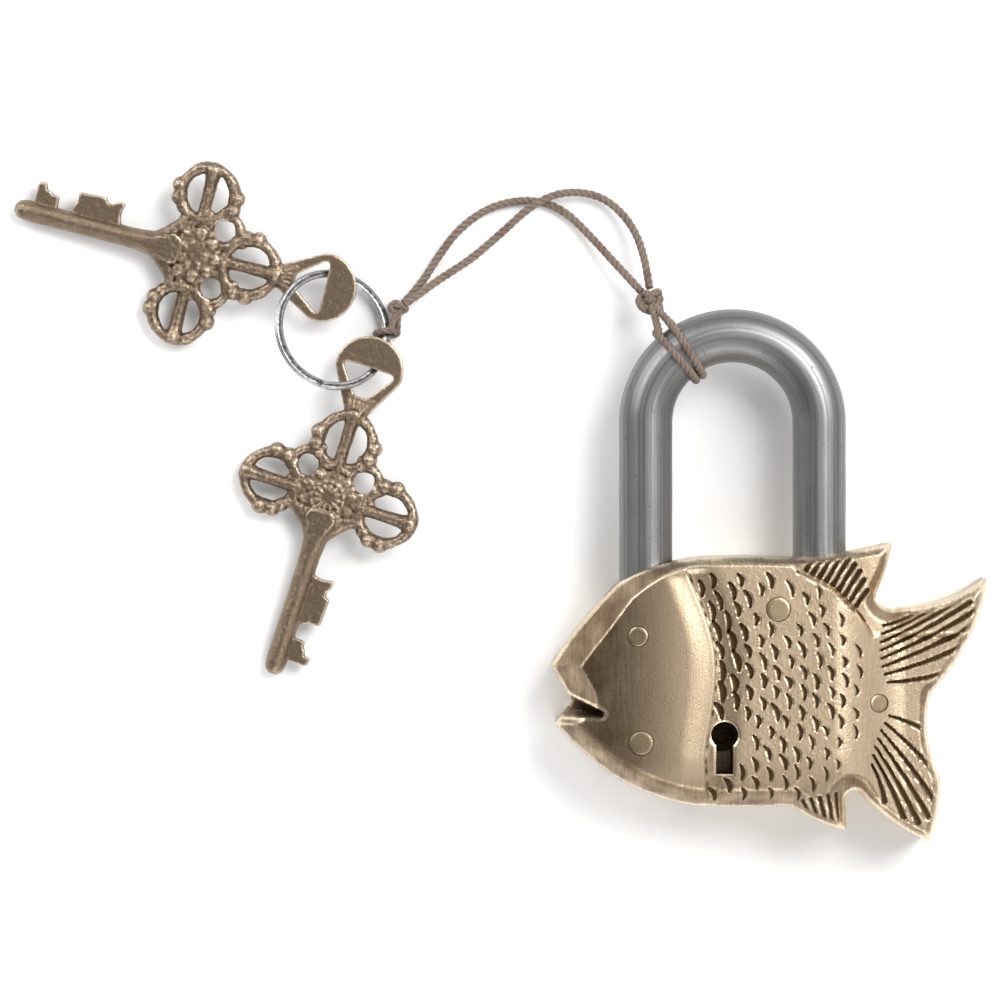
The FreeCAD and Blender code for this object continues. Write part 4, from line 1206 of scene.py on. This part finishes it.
# ---- The shackle ----------------------------------------------------------------------------
def shackle_bar():
    toe_end, heel_end, arch_y, spread = 15.3, -16.0, 60.2, 19.5
    heel = [(HEEL_X, y, BAR_LEVEL) for y in np.arange(heel_end, arch_y, 0.8)]
    arch = [(HEEL_X - spread + spread * math.cos(t), arch_y + spread * math.sin(t), BAR_LEVEL)
            for t in np.linspace(0, math.pi, 84)]
    toe = [(TOE_X, y, BAR_LEVEL) for y in np.arange(arch_y - 0.8, toe_end, -0.8)]
    path = np.array(heel + arch + toe + [(TOE_X, toe_end, BAR_LEVEL)])
    ends = np.minimum(np.arange(len(path)), np.arange(len(path))[::-1])
    scales = np.ones(len(path))
    scales[ends == 0] = 0.82
    scales[ends == 1] = 0.955
    scales = scales * (1 - 0.0025 * (1 + np.sin(np.arange(len(path)) * 0.31)))
    sides = 72
    rings = swept(path, round_outline(BAR_RADIUS, sides), False, scales)
    thing = piece_from("bent_bar", *skin(rings))
    tip = TOE_X + BAR_RADIUS + 0.4
    toe_notch = block_shape((tip - 4.6, 18.5, 0), (tip + 8, 22.5, 30))
    heel_flat = block_shape((HEEL_X + BAR_RADIUS - 1.8, 8 - LIFT - 1.7, 0),
                            (HEEL_X + BAR_RADIUS + 8, 8 + 1.9, 30))
    carve(thing, [toe_notch, heel_flat])
    places = corners(thing.data)
    on_arch = places[:, 1] > arch_y
    turn = np.arctan2(places[:, 1] - arch_y, places[:, 0] - (HEEL_X - spread))
    along = np.where(on_arch, arch_y + turn * spread,
                     np.where(places[:, 0] > HEEL_X - spread, places[:, 1],
                              arch_y + math.pi * spread + arch_y - places[:, 1]))
    outward = np.where(
        on_arch, np.hypot(places[:, 0] - (HEEL_X - spread), places[:, 1] - arch_y) - spread,
        np.where(places[:, 0] > HEEL_X - spread, places[:, 0] - HEEL_X, TOE_X - places[:, 0]))
    grain = np.stack([along / 45.0, outward / BAR_RADIUS,
                      (places[:, 2] - BAR_LEVEL) / BAR_RADIUS], axis=1)
    store(thing.data, "grain", grain, "FLOAT_VECTOR")
    smooth_faces(thing, 38)
    return thing


finished(shackle_bar(), SHACKLE_STEEL, "shackle", ["shackle"])


# ---- The keys -------------------------------------------------------------------------------
BOW = 41.0
LOBE = 13.9
KEY_THICKNESS = 5.0
TAB_THICKNESS = 1.2


def add_mesh(shape, points, faces):
    made = [shape.verts.new(p) for p in np.asarray(points, dtype=float).tolist()]
    for face in faces:
        shape.faces.new([made[k] for k in face])


def add_tube(shape, path, radii, sides=16, flatten=1.0):
    """A closed tube with rounded-off ends and its own radius at each point."""
    path = np.asarray(path, dtype=float)
    radii = np.broadcast_to(np.asarray(radii, dtype=float), len(path))
    first, last = path[0] - path[1], path[-1] - path[-2]
    first, last = first / np.linalg.norm(first), last / np.linalg.norm(last)
    path = np.vstack([path[0] + first * radii[0] * 0.75, path[0] + first * radii[0] * 0.4, path,
                      path[-1] + last * radii[-1] * 0.4, path[-1] + last * radii[-1] * 0.75])
    radii = np.r_[radii[0] * 0.4, radii[0] * 0.86, radii, radii[-1] * 0.86, radii[-1] * 0.4]
    rings = swept(path, round_outline(1.0, sides), False, radii)
    rings[:, :, 2] *= flatten
    add_mesh(shape, *skin(rings))


def add_ball(shape, middle, radii):
    made = bmesh.ops.create_icosphere(shape, subdivisions=3, radius=1.0)
    for vertex in made["verts"]:
        vertex.co = Vector([m + r * c for m, r, c in zip(middle, radii, vertex.co)])


def add_ring(shape, middle, radius, thick, flatten=1.0, turn=0.0, wave=0.0):
    """A closed ring of cast wire, as thick all round or swelling in waves."""
    at = np.linspace(0, 2 * math.pi, 72, endpoint=False)
    path = np.stack([middle[0] + radius * np.cos(at), middle[1] + radius * np.sin(at),
                     np.full(72, middle[2] / flatten)], axis=1)
    radii = thick * (1 + wave * np.sin(5 * at + turn))
    rings = swept(path, round_outline(1.0, 14), True, radii)
    rings[:, :, 2] *= flatten
    add_mesh(shape, *skin(rings, True))


def add_plate(shape, outline, low, high):
    count = len(outline)
    points = [(x, y, low) for x, y in outline] + [(x, y, high) for x, y in outline]
    faces = [tuple(reversed(range(count))), tuple(range(count, 2 * count))]
    faces += [(j, (j + 1) % count, count + (j + 1) % count, count + j) for j in range(count)]
    add_mesh(shape, points, faces)


def petal_tree():
    """Beads standing in a ring, each with its own small size and turn."""
    tree, made, given, out = geometry_tree("petal_ring", [
        ("Count", "NodeSocketInt", 10), ("Radius", FLOAT, 4.0), ("Level", FLOAT, 1.5),
        ("Petal", VECTOR, (1.0, 1.0, 1.0)), ("Vary", FLOAT, 0.15), ("Seed", "NodeSocketInt", 3),
        ("Finish", "NodeSocketMaterial", None),
    ])
    ring = made.node("GeometryNodeMeshCircle", {
        "Vertices": given.outputs["Count"], "Radius": given.outputs["Radius"],
    })
    bead = made.node("GeometryNodeMeshIcoSphere", {"Radius": 1.0, "Subdivisions": 3})
    lift = made.node("ShaderNodeCombineXYZ", {
        0: BOW, 1: 0.0, 2: given.outputs["Level"],
    })
    facing = made.node("FunctionNodeAlignEulerToVector", {
        "Vector": made.node("GeometryNodeInputPosition").outputs[0],
    }, axis="X")
    vary = made.node("FunctionNodeRandomValue", {
        "Seed": given.outputs["Seed"],
        2: made.sum("SUBTRACT", 1.0, given.outputs["Vary"]),
        3: made.sum("ADD", 1.0, given.outputs["Vary"]),
    }, data_type="FLOAT")
    petals = made.node("GeometryNodeInstanceOnPoints", {
        "Points": ring.outputs[0], "Instance": bead.outputs[0], "Rotation": facing.outputs[0],
        "Scale": made.node("ShaderNodeVectorMath", {
            0: given.outputs["Petal"], "Scale": vary.outputs[1],
        }, operation="SCALE").outputs[0],
    })
    real = made.node("GeometryNodeRealizeInstances", {"Geometry": petals.outputs[0]})
    moved = made.node("GeometryNodeSetPosition", {
        "Geometry": real.outputs[0], "Offset": lift.outputs[0],
    })
    coated = made.node("GeometryNodeSetMaterial", {
        "Geometry": moved.outputs[0], "Material": given.outputs["Finish"],
    })
    made.set(out.inputs["Geometry"], coated.outputs[0])
    return tree


PETALS = petal_tree()
PETAL_RINGS = [
    # (count, radius, level, petal size, variation)
    (10, 5.3, 0.85, (1.75, 1.45, 1.05), 0.14),
    (12, 2.2, 1.95, (1.0, 0.36, 0.42), 0.1),
    (15, 3.6, 1.75, (0.42, 0.66, 0.38), 0.1),
    (9, 4.9, -1.05, (1.5, 1.3, 0.95), 0.3),
    (7, 2.6, -1.55, (1.2, 0.9, 0.6), 0.3),
]


def arc_line(middle, radius, start, end, count=24):
    at = np.radians(np.linspace(start, end, count))
    return np.stack([middle[0] + radius * np.cos(at), middle[1] + radius * np.sin(at),
                     np.zeros(count)], axis=1)


def key_tab(shape):
    """The flat pierced tab: two arms round a three-cornered hole, closed by a crescent."""
    tip, half, widest, start = 79.0, 7.9, 71.0, 60.6
    bow_radius = ((tip - widest) ** 2 + half ** 2) / 2 / (tip - widest)
    side = math.degrees(math.asin(min(1, half / bow_radius)))
    arc = arc_line((tip - bow_radius, 0), bow_radius, -side, side, 40)[:, :2]
    outer = np.vstack([[(start, 0), (start, -2.4), (widest - 1.2, -half + 0.35)], arc,
                       [(widest - 1.2, half - 0.35), (start, 2.4)]])
    inner = np.array([(63.8, 0), (64.3, -1.0), (70.4, -5.6), (71.3, -6.0), (71.75, -5.3),
                      (71.9, 0), (71.75, 5.3), (71.3, 6.0), (70.4, 5.6), (64.3, 1.0)])

    def resampled(loop, count):
        deep = np.column_stack([loop, np.zeros(len(loop))])
        lengths = np.linalg.norm(np.diff(np.vstack([deep, deep[:1]]), axis=0), axis=1).sum()
        return even_path(deep, lengths / count, True)[:count, :2]

    count = 96
    outer, inner = resampled(outer, count), resampled(inner, count)
    points = []
    for z in (-TAB_THICKNESS / 2, TAB_THICKNESS / 2):
        points += [(x, y, z) for x, y in outer] + [(x, y, z) for x, y in inner]
    faces = []
    for j in range(count):
        k = (j + 1) % count
        faces += [
            (j, count + j, count + k, k),
            (2 * count + j, 2 * count + k, 3 * count + k, 3 * count + j),
            (j, k, 2 * count + k, 2 * count + j),
            (count + j, 3 * count + j, 3 * count + k, count + k),
        ]
    add_mesh(shape, points, faces)


def key_metal(name, seed):
    """A cast key along +X from its tip, bits to -Y."""
    shape = bmesh.new()
    xs = np.array([0.55, 2.0, 8.0, 18.0, 27.0, 31.0, 33.5, 36.0])
    add_tube(shape, np.stack([xs, xs * 0, xs * 0], axis=1),
             [2.15, 2.4, 2.35, 2.3, 2.35, 2.7, 3.3, 4.2], 28, 1.0)
    for side in (1, -1):
        add_tube(shape, [(30.5, 0.9 * side, 0), (33.0, 2.1 * side, 0), (35.4, 4.2 * side, 0),
                         (37.4, 6.6 * side, 0)], [1.3, 1.55, 1.6, 1.4])
    bit = 1.05
    add_plate(shape, [(3.0, 0), (3.0, -6.9), (4.9, -7.3), (5.1, -5.6), (6.4, -5.5), (6.5, -4.9),
                      (8.2, -4.8), (8.3, 0)][::-1], -bit, bit)
    add_plate(shape, [(11.8, 0), (11.9, -3.6), (12.6, -4.9), (12.5, -7.1), (18.9, -7.3),
                      (19.2, -6.3), (20.5, -6.1), (20.7, -6.6), (22.4, -7.3), (23.3, -7.0),
                      (22.8, -4.4), (23.6, 0)][::-1], -bit, bit)
    # The middle of the bow and the two round holes beside it.
    add_ball(shape, (BOW, 0, 0), (7.2, 7.2, 2.1))
    add_ball(shape, (BOW, 0, 0.9), (3.9, 3.9, 1.3))
    for side in (1, -1):
        add_ring(shape, (46.7, 6.7 * side, 0), 3.55, 1.12, 1.15, seed, 0.08)
        add_tube(shape, [(38.2, 5.2 * side, 0), (40.8, 8.6 * side, 0), (42.8, 9.6 * side, 0)],
                 [1.3, 1.25, 1.1])
        add_tube(shape, [(37.0, 5.2 * side, 0), (37.4, 8.4 * side, 0), (35.9, 10.2 * side, 0)],
                 [1.4, 1.4, 1.5], flatten=1.15)
        add_tube(shape, [(50.0, 5.8 * side, 0), (51.6, 4.6 * side, 0)], [1.1, 1.1])
        add_tube(shape, [(45.4, 10.4 * side, 0), (46.3, 11.4 * side, 0)], [1.2, 1.2])
        # The collar between the rosette and the lobe.
        add_tube(shape, [(37.9, 7.0 * side, 0.7), (41.0, 7.8 * side, 1.0), (44.0, 7.0 * side, 0.7)],
                 [0.75, 0.8, 0.75])
    add_tube(shape, [(47.6, -2.9, 0.8), (48.3, 0.0, 1.1), (47.6, 2.9, 0.8)], [0.75, 0.8, 0.75])
    # Three lobes, each a scrolled ring with a bar across it.
    for turn in (0, 90, -90):
        c, s = round(math.cos(math.radians(turn)), 6), round(math.sin(math.radians(turn)), 6)

        def at(out, aside, z=0.0):
            return (BOW + c * out - s * aside, s * out + c * aside, z)

        stretch = -0.7 if turn == 0 else 0.0
        middle = LOBE + stretch
        around = np.radians(np.linspace(-180, 180, 73))[:-1]
        ring = np.array([at(middle + 6.1 * math.cos(t), 6.2 * math.sin(t) * (1.0 - 0.06 * math.cos(t)))
                         for t in around])
        radii = (1.28 + 0.12 * np.sin(4 * around + seed) + 0.05 * np.sin(9 * around)
                 + 0.2 * np.exp(-((np.abs(around) - 1.75) / 0.35) ** 2))
        rings = swept(ring, round_outline(1.0, 14), True, radii)
        rings[:, :, 2] *= 1.12
        add_mesh(shape, *skin(rings, True))
        add_tube(shape, [at(5.6, 0, 0.3), at(8.2, 0, 0.4), at(12.0, 0, 0.45), at(17.0, 0, 0.4),
                         at(19.6, 0, 0.1)],
                 [1.35, 1.5, 1.4, 1.55, 2.15], 18, 1.05)
        for side in (1, -1):
            for out, aside, size in ((0.5, 6.6, 1.9), (-2.3, 6.3, 1.85), (-4.2, 5.0, 1.5)):
                add_ball(shape, at(middle + out, side * aside, 0.15), (size, size, size * 1.05))
    # The fan at the neck and the tab.
    add_plate(shape, [(58.8, -2.0), (64.8, -3.3), (64.8, 3.3), (58.8, 2.0)], -0.75, 0.75)
    for ridge in (-2, -1, 0, 1, 2):
        for level in (0.75, -0.75):
            add_tube(shape, [(59.6, 0.42 * ridge, 1.4 * level), (62.4, 0.85 * ridge, level),
                             (64.6, 1.3 * ridge, 0.6 * level)], [0.5, 0.5, 0.35], 10)
    key_tab(shape)
    for vertex in shape.verts:
        vertex.co.z = max(-KEY_THICKNESS / 2, min(KEY_THICKNESS / 2, vertex.co.z))
    bmesh.ops.recalc_face_normals(shape, faces=shape.faces)
    thing = piece_from_bmesh(name, shape)
    for count, radius, level, petal, vary in PETAL_RINGS:
        extra = piece_from("petals", [(0, 0, 0)], [])
        grow(extra, PETALS, {"Count": count, "Radius": radius, "Level": level, "Petal": petal,
                             "Vary": vary, "Seed": seed, "Finish": BRONZE})
        whole = bmesh.new()
        whole.from_mesh(thing.data)
        whole.from_mesh(extra.data)
        whole.to_mesh(thing.data)
        whole.free()
        drop(extra)
    fused = thing.modifiers.new("fused", "REMESH")
    fused.mode, fused.voxel_size = "VOXEL", 0.24
    fused.use_smooth_shade = True
    settle(thing)
    carve(thing, [rod_shape((46.6, side * 6.7, -4), (46.6, side * 6.7, 4), 2.4, 40)
                  for side in (1, -1)])
    soft = thing.modifiers.new("soft", "SMOOTH")
    soft.factor, soft.iterations = 0.5, 4
    settle(thing)
    places = corners(thing.data)
    ways = normals(thing.data)
    dice = np.random.default_rng(seed)
    rough = neighbours_mean(thing.data, dice.normal(0, 1, (len(places), 1)), 2)
    on_bow = rise(places[:, 0], 28.0, 36.0) * (1 - rise(places[:, 0], 61.0, 65.0))
    set_corners(thing.data, places + ways * rough * (0.04 + 0.05 * on_bow[:, None]))
    thing.data.shade_smooth()
    mark_relief(thing, 12, 2.4)
    store(thing.data, "shade", 0.12 + 0.15 * on_bow)
    return thing


def key_place(tip_x, tip_y, heading, lift, lean, face_up):
    """Where a key lies: its tip on the ground, its bow end lifted, leaning about its length."""
    height = 2.3 / math.cos(math.radians(lift)) + 0.05
    return (Matrix.Translation((tip_x, tip_y, height))
            @ Matrix.Rotation(math.radians(heading), 4, "Z")
            @ Matrix.Rotation(math.radians(-lift), 4, "Y")
            @ Matrix.Rotation(math.radians(lean if face_up else 180 + lean), 4, "X"))


finished(key_metal("upper_key", 3), BRONZE, "key_a", ["key_a"],
         key_place(-169.2, 108.9, -14.7, 4.0, 6.0, False))
finished(key_metal("lower_key", 8), BRONZE, "key_b", ["key_b"],
         key_place(-111.6, 4.4, 72.2, 4.15, -6.5, True))


# ---- The split ring -------------------------------------------------------------------------
def split_coil():
    """Two flat turns of spring wire, one on the other, crossing over at the split."""
    turns = np.linspace(0.02, 4 * math.pi - 0.02, 360)
    level = -0.37 + 0.74 * rise(turns, 2 * math.pi - 0.45, 2 * math.pi + 0.45)
    path = np.stack([13.06 * np.cos(turns), 13.06 * np.sin(turns), level], axis=1)
    half_wide, half_high = 0.9, 0.36
    section = []
    for t in np.arange(16) * 2 * math.pi / 16:
        section.append((math.copysign(abs(math.cos(t)) ** 0.7, math.cos(t)) * half_wide,
                        math.copysign(abs(math.sin(t)) ** 0.7, math.sin(t)) * half_high))
    section = np.array(section)
    out = np.stack([np.cos(turns), np.sin(turns), turns * 0], axis=1)
    up = np.array([0.0, 0.0, 1.0])
    ends = np.clip(np.minimum(turns, 4 * math.pi - turns) / 0.10, 0.45, 1)[:, None, None]
    rings = (path[:, None, :] + out[:, None, :] * section[None, :, 0:1]
             + up * section[None, :, 1:2] * ends)
    thing = piece_from("split_coil", *skin(rings))
    faces_out(thing)
    # Painted shade and painted highlight by place on the wire's section: the flat faces are marked sunk
    # and painted dark as shade, the rounded edges are marked proud and painted bright as a highlight with
    # some worn metal.
    store(thing.data, "relief", np.tile(0.52 - 0.35 * np.abs(np.sin(
        np.arange(16) * 2 * math.pi / 16)) ** 6 + 0.2 * np.abs(np.cos(
            np.arange(16) * 2 * math.pi / 16)) ** 4, len(turns)))
    thing.data.shade_smooth()
    return thing


ring_places = corners(frame["nodes"]["split_ring"].data) / MM
ring_low, ring_high = box_mm("split_ring")
_, _, ring_ways = np.linalg.svd(ring_places - ring_places.mean(axis=0), full_matrices=False)
ring_up = Vector(ring_ways[2] if ring_ways[2][2] > 0 else -ring_ways[2])
ring_place = Matrix.Translation((ring_low + ring_high) / 2) @ (
    ring_up.to_track_quat("Z", "Y").to_matrix().to_4x4() @ Matrix.Rotation(2.4, 4, "Z"))
finished(split_coil(), RING_STEEL, "split_ring", ["split_ring"], ring_place)


# ---- The parts inside, which keep their own shapes ------------------------------------------
INSIDE = {
    "bolt": INNER_STEEL, "guide_pin_upper": INNER_STEEL, "guide_pin_lower": INNER_STEEL,
    "detent_spring": INNER_STEEL, "spring_post": INNER_STEEL, "heel_stop_pin": INNER_STEEL,
    "ward_plate": INNER_BRASS, "ward_post_left": INNER_BRASS, "ward_post_right": INNER_BRASS,
    "key_bush": INNER_BRASS,
}
for node, material in INSIDE.items():
    part = frame["nodes"][node]
    part.data.materials.clear()
    part.data.materials.append(material)


# ---- The floor and the lights ---------------------------------------------------------------
floor = piece_from("studio_floor", [(-3000, -3000, -0.2), (3000, -3000, -0.2), (3000, 3000, -0.2),
                                    (-3000, 3000, -0.2)], [(0, 1, 2, 3)])
floor.data.transform(Matrix.Scale(MM, 4))
floor.data.materials.append(FLOOR)


def soft_light(name, place, target, wide, power, tone=(1, 1, 1)):
    data = bpy.data.lights.new(name, "AREA")
    data.shape, data.size, data.size_y = "RECTANGLE", wide[0], wide[1]
    data.energy, data.color = power, tone
    light = bpy.data.objects.new(name, data)
    light.location = place
    light.rotation_euler = (Vector(target) - Vector(place)).to_track_quat("-Z", "Y").to_euler()
    scene.collection.objects.link(light)


CENTRE = (-0.06, 0.04, 0.0)
soft_light("key_light", (0.75, 0.70, 1.30), CENTRE, (0.9, 0.9), 24)
soft_light("fill_light", (-1.0, 0.75, 0.8), CENTRE, (0.9, 0.9), 10)
soft_light("low_light", (0.1, -1.1, 0.9), CENTRE, (1.4, 0.5), 7)


def studio_world():
    """Even white light, with one dark screen to the left of the camera."""
    world = bpy.data.worlds.new("studio")
    world.use_nodes = True
    tree = Tree(world.node_tree)
    way = tree.node("ShaderNodeTexCoord").outputs["Generated"]
    toward = Vector((-0.62, 0.05, 0.78)).normalized()
    facing = tree.node("ShaderNodeVectorMath", {0: way, 1: toward}, operation="DOT_PRODUCT")
    dark = tree.fade(facing.outputs["Value"], 0.72, 0.97)
    colour = tree.blend(dark, (0.98, 0.985, 1.0, 1), (0.05, 0.045, 0.04, 1))
    background = world.node_tree.nodes["Background"]
    tree.set(background.inputs["Color"], colour)
    background.inputs["Strength"].default_value = 0.75
    return world


scene.world = studio_world()
scene.view_settings.view_transform = "Standard"
